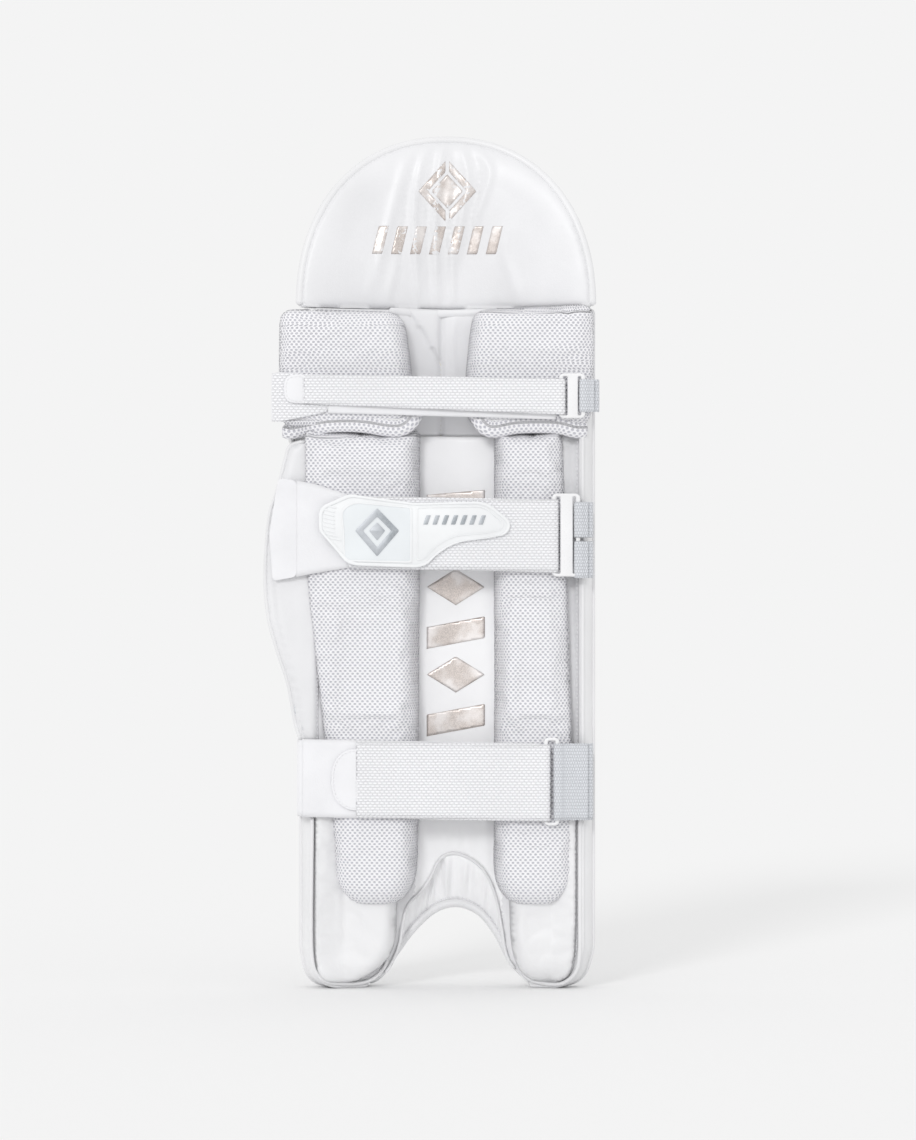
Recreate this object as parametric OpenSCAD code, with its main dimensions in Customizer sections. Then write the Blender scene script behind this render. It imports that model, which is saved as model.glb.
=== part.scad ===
// Cricket batting leg pad, for the left or right leg of an adult.
// +Z runs up the leg, +Y is the batting face, -Y is the leg side with the straps.
// The pad stands on its two lobes at z = 0, and the shell follows one circular arc about the leg.

/* [Shell] */
// Height from the lobes to the top of the dome
pad_h = 700; // [690:5:710]
// Sideways place of the leg's centre line
leg_x = 11; // [9:0.5:13]
// Radius of the lining that faces the leg
lining_r = 207; // [205:0.5:209]
// Depth of the lining at the centre line
lining_y = 8; // [6:0.5:10]
// Half the angle that the shell spans
shell_angle = 31.2; // [30.8:0.1:31.6]
// Thickness of the lining sheet
lining_t = 1.6; // [1.2:0.1:2]
// Thickness of the backing board
board_t = 5; // [4:0.5:6]
// Thickness of the foam layer behind the rolls
foam_t = 12; // [10:0.5:13]

/* [Shin rolls] */
// Number of vertical rolls
rib_count = 8; // [8:1:8]
// Radius of one vertical roll
rib_r = 15; // [14:0.1:15.2]
// Angle from one roll to the next
rib_pitch = 7.8; // [7.75:0.01:7.85]
// Thickness of the covers of all padded pieces
skin_t = 1.8; // [1.2:0.1:2.4]

/* [Knee and top hat] */
// Height of the lowest edge of the knee rolls
knee_z = 440; // [438:1:442]
// Height of the seam between the knee rolls and the top hat
hat_z = 557; // [555:1:560]
// Half the width of the top hat at its seam
hat_half_w = 122; // [119:1:124]
// Height of a knee cup
cup_h = 101; // [98:1:102]

/* [Bolsters] */
// Lowest point of the vertical bolsters
bolster_z = 67; // [64:1:70]
// Depth of the rear face of the padding, where the straps lie
pad_back_y = -31.2; // [-31.4:0.1:-30.8]

/* [Straps] */
// Thickness of one ply of strap
ply_t = 2; // [1.6:0.1:2]
// Depth of the rear face of the base plies
ply_y = -34; // [-34.4:0.1:-33.8]
// Radius of the round bars of the rings
bar_r = 1.5; // [1.4:0.05:1.6]
// Running clearance of a ring in its webbing loop
loop_clear = 0.06; // [0.03:0.01:0.1]

/* [Hidden] */

$fn = 64;
gap = 0.3;
far = 300;
axis_y = lining_y - lining_r;
board_r = lining_r + lining_t + 0.1;
foam_r = board_r + board_t + 0.1;
front_r = foam_r + foam_t;
rib_c = front_r + 1;
core_low = 78;
core_gap = 10;
roll_count = 3;
roll_pitch = (hat_z - knee_z) / roll_count;
roll_r = roll_pitch / 2 - 0.2;
roll_c = front_r - 2;
roll_angles = [-34.4, 29.4];
wall_angle = 32.6;
wall_t = 8;
piping_z = 26;
hat_h = pad_h - hat_z;
dome_power = 0.92;
bind_r = 2.2;
cup_z = hat_z + 1 - cup_h;
rim_h = 9;

// Straps: height range, free bar's x, loop bar's x, and left end of the base ply
top_z = [470, 500];
top_bar_x = 104;
top_loop_x = 121.6;
mid_z = [341, 402];
mid_bar_x = 98.3;
mid_loop_x = 117.4;
bottom_z = [138, 203];
bottom_bar_x = 91.7;
bottom_loop_x = 100.6;
fold_r = bar_r + 0.25;
bar_y = ply_y - fold_r;
arm_h = 4;
arm_t = 3.2;
loop_reach = 8;

// Wing: its hinge axis and the top and bottom of its root
wing_x = -111;
wing_y = -17.5;
wing_r = 5.5;
wing_tilt = 18;
wing_z = [206, 424];

white = [0.96, 0.96, 0.97];
mesh_white = [0.9, 0.9, 0.93];
web_white = [0.93, 0.93, 0.94];
foam_grey = [0.75, 0.77, 0.8];

// --- points and shapes ---------------------------------------------------

// Catmull-Rom curve through the points p, with n steps between each pair
function blend4(a, b, c, d, t) =
    0.5 * (2 * b + (c - a) * t + (2 * a - 5 * b + 4 * c - d) * t * t
           + (3 * b - a - 3 * c + d) * t * t * t);
function curve(p, n = 4) = [
    for (i = [0:len(p) - 2], k = [0:n - 1])
        blend4(p[max(i - 1, 0)], p[i], p[i + 1], p[min(i + 2, len(p) - 1)], k / n),
    p[len(p) - 1]
];
function arc_points(c, r, a0, a1, n = 8) =
    [for (i = [0:n]) c + r * [cos(a0 + (a1 - a0) * i / n), sin(a0 + (a1 - a0) * i / n)]];
// Depth of the circle of radius r about the leg, at a sideways place x
function arc_y(r, x) = axis_y + sqrt(r * r - (x - leg_x) * (x - leg_x));

// A shape in the X-Z plane, from depth y0 to depth y1
module slab(y0, y1) {
    translate([0, y1, 0]) rotate([90, 0, 0]) linear_extrude(y1 - y0) children();
}
// A cylinder about the leg's axis
module leg_cylinder(r) {
    translate([leg_x, axis_y, -far]) cylinder(h = 4 * far, r = r, $fn = 180);
}
// A plate that follows the leg between two radii and two angles, positive to the right
module arc_plate(r0, r1, a0, a1, z0, z1) {
    translate([leg_x, axis_y, 0]) rotate([0, 0, 90 - a1]) rotate_extrude(angle = a1 - a0, $fn = 180)
        translate([r0, z0]) square([r1 - r0, z1 - z0]);
}
// A round tube through 3-D points that lie roughly in an X-Z surface
module tube(path, r, sides = 8) {
    last = len(path) - 1;
    ring_at = [for (i = [0:last])
        let (d = path[min(i + 1, last)] - path[max(i - 1, 0)], t = d / norm(d),
             u = cross(t, [0, 1, 0]), v = cross(t, u / norm(u)))
        for (k = [0:sides - 1])
            path[i] + r * (cos(360 * k / sides) * u / norm(u) + sin(360 * k / sides) * v)];
    walls = [for (i = [0:last - 1], k = [0:sides - 1])
        let (a = i * sides + k, b = i * sides + (k + 1) % sides) [a, b, b + sides, a + sides]];
    ends = [[for (k = [0:sides - 1]) sides - 1 - k], [for (k = [0:sides - 1]) last * sides + k]];
    polyhedron(ring_at, concat(walls, ends), convexity = 6);
}

// Outer edge of the arch, from the left lobe's floor to the right lobe's
arch_outer = [[-60, 0], [-46, 8], [-33, 26], [-18, 46], [0, 62],
              [19, 67], [38, 60], [53, 42], [66, 18], [84, 0]];
// Inner edge of the arch, where the lining ends
arch_inner = [[-60, 0], [-44, 20], [-26, 50], [-12, 82], [4, 102],
              [20, 108], [36, 100], [50, 74], [62, 34], [84, 0]];

// The shell's outline below the knee, open upwards, for one of the two arch edges
module shell_outline(arch, top) {
    polygon(concat(
        [[-far, top], [-far, 34], [-112, 34]],
        curve([[-108, 34], [-104, 14], [-88, 0]], 4),
        curve(arch, 3),
        curve([[108, 0], [123, 12], [128, 34]], 4),
        [[far, 34], [far, top]]));
}
// A point of the dome's edge at the angle a, for half the width w and the height h
function dome_point(a, w, h) = [
    leg_x - 1 + sign(cos(a)) * w * pow(abs(cos(a)), dome_power),
    hat_z + 1 + h * pow(sin(a), dome_power)
];
// The dome of the top hat, shrunk by m on every free side
module hat_outline(m) {
    w = hat_half_w - m;
    h = hat_h - 1 - m;
    n = 40;
    polygon([for (i = [0:n]) dome_point(180 * i / n, w, h)]);
}

// --- shin rolls ----------------------------------------------------------

module rib_body(i, inset) {
    a = (i - (rib_count + 1) / 2) * rib_pitch;
    difference() {
        translate([leg_x + rib_c * sin(a), axis_y + rib_c * cos(a), inset])
            cylinder(h = knee_z - 0.4 - 2 * inset, r = rib_r - inset);
        leg_cylinder(front_r + 0.1 + inset);
    }
}
module shin_rib(i) {
    color(white) difference() {
        intersection() {
            rib_body(i, 0);
            slab(-far, far) shell_outline(arch_outer, knee_z + 20);
        }
        rib_core(i, skin_t);
    }
}
module rib_core(i, inset) {
    intersection() {
        rib_body(i, inset);
        translate([-far, -far, core_low]) cube([2 * far, 2 * far, knee_z - core_gap - core_low]);
    }
}
module rib_cores() {
    color(foam_grey) for (i = [1:rib_count]) rib_core(i, skin_t + 0.2);
}

// --- knee rolls ----------------------------------------------------------

module knee_roll_body(i, inset) {
    z = knee_z + roll_pitch * (i - 0.5);
    a = roll_angles + [inset, -inset] * 0.5;
    translate([leg_x, axis_y, z]) rotate([0, 0, 90 - a[1]])
        rotate_extrude(angle = a[1] - a[0], $fn = 180) intersection() {
            translate([roll_c, 0]) circle(r = roll_r - inset, $fn = 48);
            translate([front_r + 0.1 + inset, -far]) square([far, 2 * far]);
        }
}
module knee_roll(i) {
    color(white) difference() {
        knee_roll_body(i, 0);
        knee_roll_body(i, skin_t);
    }
}
module knee_roll_cores() {
    color(foam_grey) for (i = [1:roll_count]) knee_roll_body(i, skin_t + 0.2);
}

// --- shell layers --------------------------------------------------------

module shell_foam() {
    color(foam_grey) intersection() {
        arc_plate(foam_r, front_r, -shell_angle, shell_angle, 0, hat_z - 0.3);
        slab(-far, far) shell_outline(arch_inner, hat_z);
    }
}
module backing_board() {
    color([0.85, 0.85, 0.82]) intersection() {
        arc_plate(board_r, foam_r - 0.1, -shell_angle, shell_angle, 0, hat_z - 0.3);
        slab(-far, far) shell_outline(arch_inner, hat_z);
    }
}
module inner_lining() {
    color(white) intersection() {
        arc_plate(lining_r, lining_r + lining_t, -shell_angle, shell_angle, 0, cup_z - 2);
        slab(-far, far) shell_outline(arch_inner, hat_z);
    }
}
module knee_lining() {
    color(white) arc_plate(lining_r, lining_r + lining_t, -shell_angle, shell_angle, cup_z - 1.7, hat_z - 0.3);
}

// --- top hat -------------------------------------------------------------

module hat_layer(r0, r1, m) {
    intersection() {
        arc_plate(r0, r1, -38, 38, hat_z, pad_h);
        slab(-far, far) hat_outline(m);
    }
}
module top_hat_face() {
    color(white) hat_layer(foam_r + 8, front_r + 7, 2 * bind_r + 0.3);
}
module top_hat_foam() {
    color(foam_grey) hat_layer(board_r, foam_r + 7.9, 2 * bind_r + 1.2);
}
module top_hat_lining() {
    color(white) hat_layer(lining_r, board_r - 0.1, 2 * bind_r + 0.3);
}
module top_hat_binding() {
    w = hat_half_w - bind_r;
    h = hat_h - 1 - bind_r;
    n = 36;
    start = 3;
    path = [for (i = [0:n])
        let (a = start + (180 - 2 * start) * i / n, p = dome_point(a, w, h))
        [p[0], arc_y(foam_r + 2, p[0]), p[1]]];
    color(white) tube(path, bind_r);
}

// --- side walls, piping, instep -------------------------------------------

module side_wall(side) {
    a = side > 0 ? [shell_angle + 0.1, wall_angle] : [-wall_angle, -shell_angle - 0.1];
    color(white) intersection() {
        arc_plate(lining_r, lining_r + wall_t, a[0], a[1], 0, cup_z - 1);
        slab(-far, far) shell_outline(arch_inner, hat_z);
    }
}
module edge_piping(side, top) {
    r = lining_r + wall_t / 2;
    a = side * (wall_angle + 0.68);
    color(white) translate([leg_x + r * sin(a), axis_y + r * cos(a), piping_z])
        cylinder(h = top - piping_z, r = bind_r, $fn = 24);
}
module instep_lining() {
    color(white) intersection() {
        arc_plate(front_r - 3, front_r, -shell_angle, shell_angle, 4, 120);
        slab(-far, far) difference() {
            shell_outline(arch_outer, hat_z);
            translate([0, -0.6]) shell_outline(arch_inner, far);
        }
    }
}
module arch_binding() {
    path = [for (p = curve([for (i = [1:len(arch_outer) - 2]) arch_outer[i]], 3))
        [p[0], arc_y(front_r - 5.6, p[0]), p[1] + 1.5]];
    color(white) tube(path, bind_r);
}

// Padded panel on the leg side of a lobe, between the sideways places in x, shrunk by m
lobe_left_x = [-92, -34];
lobe_right_x = [64, 109];
lobe_depth = 12;
module lobe_body(x, m) {
    r = 16;
    top = bolster_z + 25 - m;
    intersection() {
        slab(pad_back_y + lobe_depth + m, far) polygon(concat(
            [[x[0] + m, top], [x[1] - m, top]],
            arc_points([x[1] - r, r], r - m, 0, -90, 6),
            arc_points([x[0] + r, r], r - m, -90, -180, 6)));
        leg_cylinder(lining_r - gap - m);
        translate([-far, -far, -1]) cube([2 * far, 2 * far, bolster_z - 1]);
    }
}
module lobe_pad(x) {
    color(white) difference() {
        lobe_body(x, 0);
        lobe_body(x, skin_t);
    }
}
module lobe_foams() {
    color(foam_grey) {
        lobe_body(lobe_left_x, skin_t + 0.2);
        lobe_body(lobe_right_x, skin_t + 0.2);
    }
}

// --- knee cups and bolsters ------------------------------------------------

// Cross-section of leg-side padding from x0 to x1, with its free side rounded, shrunk by m
module padding_section(x0, x1, m) {
    y = pad_back_y + m;
    polygon(concat(
        [[x0 + m, 40], [x0 + m, y + 10]],
        arc_points([x0 + m + 8, y + 8], 8, 180, 270, 5),
        arc_points([x1 - m - 8, y + 8], 8, 270, 360, 5),
        [[x1 - m, 40]]));
}
module padding(x0, x1, m, lips = false) {
    intersection() {
        translate([0, 0, -1]) linear_extrude(pad_h) padding_section(x0, x1, m);
        union() {
            leg_cylinder(lining_r - gap - m);
            if (lips) difference() {
                translate([-far, -far, 0]) cube([2 * far, far + lip_y - m, pad_h]);
                translate([lip_x[0] - m, -far, -1]) cube([lip_x[1] - lip_x[0] + 2 * m, 2 * far, pad_h + 2]);
            }
        }
        slab(-far, far) children();
    }
}
module cup_outline(x0, x1, m) {
    r = 12;
    z0 = cup_z + rim_h;
    z1 = hat_z - 0.5;
    polygon(concat(
        arc_points([x0 + r, z0 + r], r - m, 180, 270, 5),
        arc_points([x1 - r, z0 + r], r - m, 270, 360, 5),
        arc_points([x1 - r, z1 - r], r - m, 0, 90, 5),
        arc_points([x0 + r, z1 - r], r - m, 90, 180, 5)));
}
// Past these places a knee cup wraps round the shell's edges, behind the depth lip_y
lip_x = [-90, 113];
lip_y = -23;
cup_left = [-125, -17];
cup_right = [27, 130];
module cup_body(x, m) {
    padding(x[0], x[1], m, lips = true) cup_outline(x[0], x[1], m);
}
module knee_cup(x) {
    color(mesh_white) difference() {
        cup_body(x, 0);
        cup_body(x, skin_t);
    }
}
module knee_cup_foams() {
    color(foam_grey) {
        cup_body(cup_left, skin_t + 0.2);
        cup_body(cup_right, skin_t + 0.2);
    }
}
module knee_cup_rim(x) {
    color(mesh_white) intersection() {
        translate([0, 0, -1]) linear_extrude(pad_h) padding_section(x[0], x[1], 2);
        leg_cylinder(lining_r - gap);
        translate([-far, -far, cup_z]) cube([2 * far, 2 * far, rim_h - gap]);
    }
}

bolster_left_x = [-107, -11];
bolster_right_x = [49, 113];
// Outline of a bolster whose low end is a round of radius r, narrowed by taper on its outer side
module bolster_outline(x0, x1, taper_left, m) {
    low_x = x0 + taper_left;
    r = min(34, (x1 - low_x) / 2);
    polygon(concat(
        arc_points([low_x + r, bolster_z + r], r - m, 180, 270, 10),
        arc_points([x1 - r, bolster_z + r], r - m, 270, 360, 10),
        [[x1 - m, cup_z - gap - m], [x0 + m, cup_z - gap - m], [x0 + m, 260]]));
}
module bolster_body(side, m) {
    x = side < 0 ? bolster_left_x : bolster_right_x;
    padding(x[0], x[1], m) bolster_outline(x[0], x[1], side < 0 ? 24 : 0, m);
}
module bolster(side) {
    color(mesh_white) difference() {
        bolster_body(side, 0);
        bolster_body(side, skin_t);
    }
}
module bolster_foams() {
    color(foam_grey) {
        bolster_body(-1, skin_t + 0.2);
        bolster_body(1, skin_t + 0.2);
    }
}

// --- calf wing -------------------------------------------------------------

wing_edge = [[-112, 206], [-114, 220], [-119, 250], [-128, 275], [-135, 304], [-137.5, 338],
             [-134.5, 384], [-127, 412], [-114, 424]];
// The wing's plate shrunk by m, laid flat before it tilts about its hinge axis; shift moves its outer edge outwards
module wing_plate(m, shift) {
    z_mid = (wing_z[0] + wing_z[1]) / 2;
    shrink = [1 - m / 11, 1 - m / 36];
    slab(-wing_r + m, wing_r - m) polygon(concat(
        [[-m, z_mid + (wing_z[1] - z_mid) * shrink[1]], [-m, z_mid + (wing_z[0] - z_mid) * shrink[1]]],
        [for (p = curve(wing_edge, 3))
            [(p[0] - wing_x) * shrink[0] - shift, z_mid + (p[1] - z_mid) * shrink[1]]]));
}
module at_wing_hinge() {
    translate([wing_x, wing_y, 0]) rotate([0, 0, wing_tilt]) children();
}
module calf_wing_cover() {
    color(white) at_wing_hinge() difference() {
        union() {
            wing_plate(0, 0);
            translate([0, 0, wing_z[0]]) cylinder(h = wing_z[1] - wing_z[0], r = wing_r);
        }
        wing_plate(skin_t, skin_t);
    }
}
module calf_wing_foam() {
    low = wing_z[0] + 20;
    high = wing_z[1] - 14;
    color(foam_grey) at_wing_hinge() intersection() {
        wing_plate(skin_t + 0.8, skin_t - 0.6);
        translate([-far, -far, low]) cube([2 * far, 2 * far, high - low]);
    }
}

// --- straps ----------------------------------------------------------------

// Base ply from x0 to just short of the free bar at x1
module base_ply(x0, x1, z) {
    color(web_white) translate([x0, ply_y, z[0]]) cube([x1 - fold_r - ply_t - 0.5 - x0, ply_t, z[1] - z[0]]);
}
// Sewn patch that widens from the strap's width to the edge of the pad
module anchor_patch(points) {
    color(white) slab(ply_y, ply_y + ply_t) polygon(points);
}
// Ring: round free bar at x0, round loop bar at x1, and an optional flat bar between
module ring(x0, x1, z, flat) {
    z0 = z[0] - 1.2;
    z1 = z[1] + 1.2;
    color(white) {
        for (x = [x0, x1]) translate([x, bar_y, z0 - 0.5]) cylinder(h = z1 - z0 + 1, r = bar_r, $fn = 32);
        for (arm = [z0 - arm_h, z1]) translate([x0 - bar_r - 0.6, bar_y - arm_t / 2, arm])
            cube([x1 - x0 + 2 * bar_r + 1.2, arm_t, arm_h]);
        if (len(flat) > 0) translate([flat[0], bar_y - arm_t / 2, z0 - 0.5])
            cube([flat[1] - flat[0], arm_t, z1 - z0 + 1]);
    }
}
// Webbing folded about a ring's loop bar and sewn to the pad's edge
module webbing_loop(x, z, edge_x) {
    hole_r = bar_r + loop_clear;
    sleeve_r = hole_r + 1.6;
    color(web_white) difference() {
        union() {
            translate([x, bar_y, z[0]]) cylinder(h = z[1] - z[0], r = sleeve_r, $fn = 48);
            translate([x, bar_y + 0.2, z[0]]) cube([edge_x - x, sleeve_r - 0.2, z[1] - z[0]]);
            translate([edge_x - ply_t, bar_y + 0.2, z[0]]) cube([ply_t, loop_reach, z[1] - z[0]]);
        }
        translate([x, bar_y, z[0] - 1]) cylinder(h = z[1] - z[0] + 2, r = hole_r, $fn = 48);
    }
}
// Everything on a flap turns about the ring's free bar, so that its far end rests on the base ply
module on_flap(bar_x, slope) {
    translate([bar_x, bar_y, 0]) rotate([0, 0, -slope]) translate([-bar_x, -bar_y, 0]) children();
}
// Return ply from its fold about the free bar leftwards to x0
module return_ply(x0, bar_x, z, slope) {
    h = z[1] - z[0];
    color(web_white) on_flap(bar_x, slope) {
        translate([bar_x, bar_y, z[0]]) rotate([0, 0, 270]) rotate_extrude(angle = 90, $fn = 48)
            translate([fold_r, 0]) square([ply_t, h]);
        translate([x0, return_y, z[0]]) cube([bar_x - x0, ply_t, h]);
    }
}
return_y = bar_y - fold_r - ply_t;

top_slope = 0.75;
mid_slope = 0.5;
bottom_slope = 1;

module top_strap_anchor() {
    anchor_patch([[-129.5, 463], [-131, 484], [-129.5, 505], [-100, 500],
                  [-86, 499], [-86, 472], [-100, 469]]);
}
module top_strap_base() { base_ply(-85.6, top_bar_x, [471, 499]); }
module top_strap_loop() { webbing_loop(top_loop_x, top_z, 135); }
module top_strap_ring() { ring(top_bar_x, top_loop_x, top_z, [109, 117.6]); }
module top_strap_return() { return_ply(-106, top_bar_x, [472, 500], top_slope); }
module top_hook_tab() {
    color(white) on_flap(top_bar_x, top_slope) slab(return_y, return_y + ply_t) polygon(concat(
        [[-106.4, 500], [-106.4, 478]],
        arc_points([-113, 487], 9, 270, 180, 5),
        arc_points([-113, 491], 9, 180, 90, 5)));
}

module mid_strap_anchor() {
    anchor_patch([[-131.5, 334], [-133, 375], [-126, 418], [-118, 416], [-118, 338]]);
}
module mid_strap_base() {
    color(web_white) slab(ply_y, ply_y + ply_t) polygon([
        [-113.4, 338], [-113.4, 415.5], [-96, 413], [-69, 402], [mid_bar_x - 4.3, 402],
        [mid_bar_x - 4.3, 341], [-69, 341], [-93, 341]]);
}
module mid_strap_loop_upper() { webbing_loop(mid_loop_x, [372, 401], 129); }
module mid_strap_loop_lower() { webbing_loop(mid_loop_x, [342, 371], 129); }
module mid_strap_ring() { ring(mid_bar_x, mid_loop_x, mid_z, [103.2, 113.4]); }
module mid_strap_return() { return_ply(-70, mid_bar_x, [342, 401], mid_slope); }
module mid_hook_patch() {
    color(white) on_flap(mid_bar_x, mid_slope) translate([-68, return_y + ply_t + 0.05, 346]) cube([60, 1.4, 50]);
}
// Moulded badge: grip end, square panel, and a tapering tail
module mid_strap_badge() {
    outline = [[-93.4, 375], [-93.4, 394], [-69, 405], [-16, 397.6], [43, 398.3], [62.8, 381],
               [60.3, 372.7], [44.6, 368.6], [19.8, 367], [4, 357], [-7.4, 344.6], [-70, 347],
               [-80, 359.5]];
    color(white) on_flap(mid_bar_x, mid_slope) slab(return_y - 3.6, return_y - 0.05) polygon(outline);
}

module bottom_strap_base() {
    color(web_white) slab(ply_y, ply_y + ply_t) polygon([
        [-108, 142], [-108, 205], [bottom_bar_x - 4.3, 202], [bottom_bar_x - 4.3, 139]]);
}
module bottom_strap_loop() { webbing_loop(bottom_loop_x, bottom_z, 129); }
module bottom_strap_ring() { ring(bottom_bar_x, bottom_loop_x, bottom_z, []); }
module bottom_strap_return() { return_ply(-63, bottom_bar_x, [139, 202], bottom_slope); }
module bottom_hook_tab() {
    color(white) on_flap(bottom_bar_x, bottom_slope) slab(return_y, return_y + ply_t) polygon(concat(
        [[-63.4, 199], [-63.4, 143]],
        arc_points([-66, 160], 17, 270, 180, 6),
        arc_points([-66, 182], 17, 180, 90, 6)));
}

for (i = [1:rib_count]) shin_rib(i);
rib_cores();
knee_roll(1);  // knee_roll_lower
knee_roll(2);  // knee_roll_middle
knee_roll(3);  // knee_roll_upper
knee_roll_cores();
shell_foam();
backing_board();
inner_lining();
knee_lining();
top_hat_face();
top_hat_foam();
top_hat_lining();
top_hat_binding();
side_wall(-1);  // side_wall_left
side_wall(1);  // side_wall_right
edge_piping(-1, 200);  // edge_piping_left
edge_piping(1, knee_z + 4);  // edge_piping_right
instep_lining();
arch_binding();
lobe_pad(lobe_left_x);  // lobe_pad_left
lobe_pad(lobe_right_x);  // lobe_pad_right
lobe_foams();
knee_cup(cup_left);  // knee_cup_left
knee_cup(cup_right);  // knee_cup_right
knee_cup_foams();
knee_cup_rim([-116, -24]);  // knee_cup_rim_left
knee_cup_rim([44, 122]);  // knee_cup_rim_right
bolster(-1);  // bolster_left
bolster(1);  // bolster_right
bolster_foams();
calf_wing_cover();
calf_wing_foam();
mid_strap_anchor();
top_strap_anchor();
top_strap_base();
top_strap_loop();
top_strap_ring();
top_strap_return();
top_hook_tab();
mid_strap_base();
mid_strap_loop_upper();
mid_strap_loop_lower();
mid_strap_ring();
mid_strap_return();
mid_hook_patch();
mid_strap_badge();
bottom_strap_base();
bottom_strap_loop();
bottom_strap_ring();
bottom_strap_return();
bottom_hook_tab();
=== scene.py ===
"""Cricket leg pad: covers, padding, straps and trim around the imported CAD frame.

All shapes below are worked out in millimetres, in the frame's own axes, and become metres in add().
+Z runs up the leg, +Y is the batting face, and -Y is the leg side with the straps.
"""

import math

import bmesh
import bpy
import numpy as np
from mathutils import Matrix, Vector, noise
from mathutils.bvhtree import BVHTree
from mathutils.geometry import delaunay_2d_cdt


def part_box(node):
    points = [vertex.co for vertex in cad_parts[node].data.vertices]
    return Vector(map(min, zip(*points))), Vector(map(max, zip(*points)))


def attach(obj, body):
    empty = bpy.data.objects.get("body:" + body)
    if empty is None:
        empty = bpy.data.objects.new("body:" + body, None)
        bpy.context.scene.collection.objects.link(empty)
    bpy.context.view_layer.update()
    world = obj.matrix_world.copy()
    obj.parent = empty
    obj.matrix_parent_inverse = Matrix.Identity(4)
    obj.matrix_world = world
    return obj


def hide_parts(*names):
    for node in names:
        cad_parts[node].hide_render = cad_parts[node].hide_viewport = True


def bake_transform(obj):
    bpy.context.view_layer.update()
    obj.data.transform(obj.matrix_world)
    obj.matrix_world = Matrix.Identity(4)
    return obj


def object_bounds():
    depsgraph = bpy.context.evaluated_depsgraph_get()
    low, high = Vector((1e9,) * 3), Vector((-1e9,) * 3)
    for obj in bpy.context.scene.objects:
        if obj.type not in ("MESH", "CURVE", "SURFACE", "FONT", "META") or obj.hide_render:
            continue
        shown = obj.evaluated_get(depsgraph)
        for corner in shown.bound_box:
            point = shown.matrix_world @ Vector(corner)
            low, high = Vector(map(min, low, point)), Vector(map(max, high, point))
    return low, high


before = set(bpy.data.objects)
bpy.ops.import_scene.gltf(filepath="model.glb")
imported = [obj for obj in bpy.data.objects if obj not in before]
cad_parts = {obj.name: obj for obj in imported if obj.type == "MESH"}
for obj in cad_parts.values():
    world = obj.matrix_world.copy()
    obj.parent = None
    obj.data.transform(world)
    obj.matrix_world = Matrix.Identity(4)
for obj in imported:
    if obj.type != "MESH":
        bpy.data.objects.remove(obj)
cad_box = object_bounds()

MM = 0.001


def box(node):
    """Lowest and highest corner of a CAD node, in mm."""
    lo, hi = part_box(node)
    return np.array(lo) / MM, np.array(hi) / MM


# --- driving sizes -----------------------------------------------------------

LEG_X = 11.0
LINING_R = 207.0
LINING_T = 1.6
FRONT_R = 225.8
AXIS_Y = box("inner_lining")[1][1] - LINING_R - LINING_T
HAT_Z = box("top_hat_lining")[0][2]
CUP_Z = box("inner_lining")[1][2] + 2
KNEE_Z = box("knee_roll_lower")[0][2]
PAD_Y = box("bolster_left")[0][1]
PLY_Y = box("mid_strap_base")[0][1]
PLY_T = 2.0
FOLD_R = 1.75
BAR_Y = PLY_Y - FOLD_R
RETURN_Y = BAR_Y - FOLD_R - PLY_T
SHELL_LEFT, SHELL_RIGHT = -108.0, 130.0
TO_LEG = (0, -1, 0)
STRAPS = {
    "top": {"z": (470, 500), "bar": 104.0, "loop": 121.6, "slope": 0.75},
    "mid": {"z": (341, 402), "bar": 98.3, "loop": 117.4, "slope": 0.5},
    "bottom": {"z": (138, 203), "bar": 91.7, "loop": 100.6, "slope": 1.0},
}

# Lower edge of the shell from the left lobe to the right one: of the batting face, then of the lining
ARCH_OUTER = [(-60, 3), (-46, 9), (-33, 27), (-18, 47), (0, 63), (19, 68), (38, 61), (53, 43), (66, 19),
              (84, 3)]
ARCH_INNER = [(-60, 3), (-44, 12), (-33, 32), (-29, 52), (-24, 67), (-13, 77), (-4, 89), (2, 101),
              (10, 107.5), (20, 108.5), (34, 103), (46, 92), (55, 72), (60, 48), (66, 22), (84, 3)]
LEFT_LOBE = [(-108, 34), (-104, 14), (-97, 6), (-88, 3)]
RIGHT_LOBE = [(108, 3), (118, 7), (125, 16), (130, 34)]


# --- curves and outlines --------------------------------------------------------

def curve(points, steps=6, closed=False):
    """A Catmull-Rom curve through the points."""
    p = np.array(points, float)
    n = len(p)
    out = []
    for i in range(n if closed else n - 1):
        a, b, c, d = (p[(i + k) % n] if closed else p[min(max(i + k, 0), n - 1)] for k in (-1, 0, 1, 2))
        for t in np.arange(steps) / steps:
            out.append(0.5 * (2 * b + (c - a) * t + (2 * a - 5 * b + 4 * c - d) * t**2
                              + (3 * b - a - 3 * c + d) * t**3))
    if not closed:
        out.append(p[-1])
    return np.array(out)


def resample(points, step, closed=False):
    """The same line with evenly spaced points."""
    p = np.array(points, float)
    if closed:
        p = np.vstack([p, p[:1]])
    along = np.r_[0, np.cumsum(np.linalg.norm(np.diff(p, axis=0), axis=1))]
    count = max(int(round(along[-1] / step)), 3)
    at = np.linspace(0, along[-1], count + 1)
    q = np.stack([np.interp(at, along, p[:, k]) for k in range(p.shape[1])], 1)
    return q[:-1] if closed else q


def rounded(corners, radius, steps=5):
    """A closed outline with rounded corners. A corner may give its own radius as a third number."""
    out = []
    for i, corner in enumerate(corners):
        here = np.array(corner[:2], float)
        r = corner[2] if len(corner) > 2 else radius
        before = np.array(corners[i - 1][:2], float) - here
        after = np.array(corners[(i + 1) % len(corners)][:2], float) - here
        a = here + before / np.linalg.norm(before) * min(r, 0.48 * np.linalg.norm(before))
        b = here + after / np.linalg.norm(after) * min(r, 0.48 * np.linalg.norm(after))
        for t in np.linspace(0, 1, steps + 1):
            out.append((1 - t) ** 2 * a + 2 * t * (1 - t) * here + t * t * b)
    return np.array(out)


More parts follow.
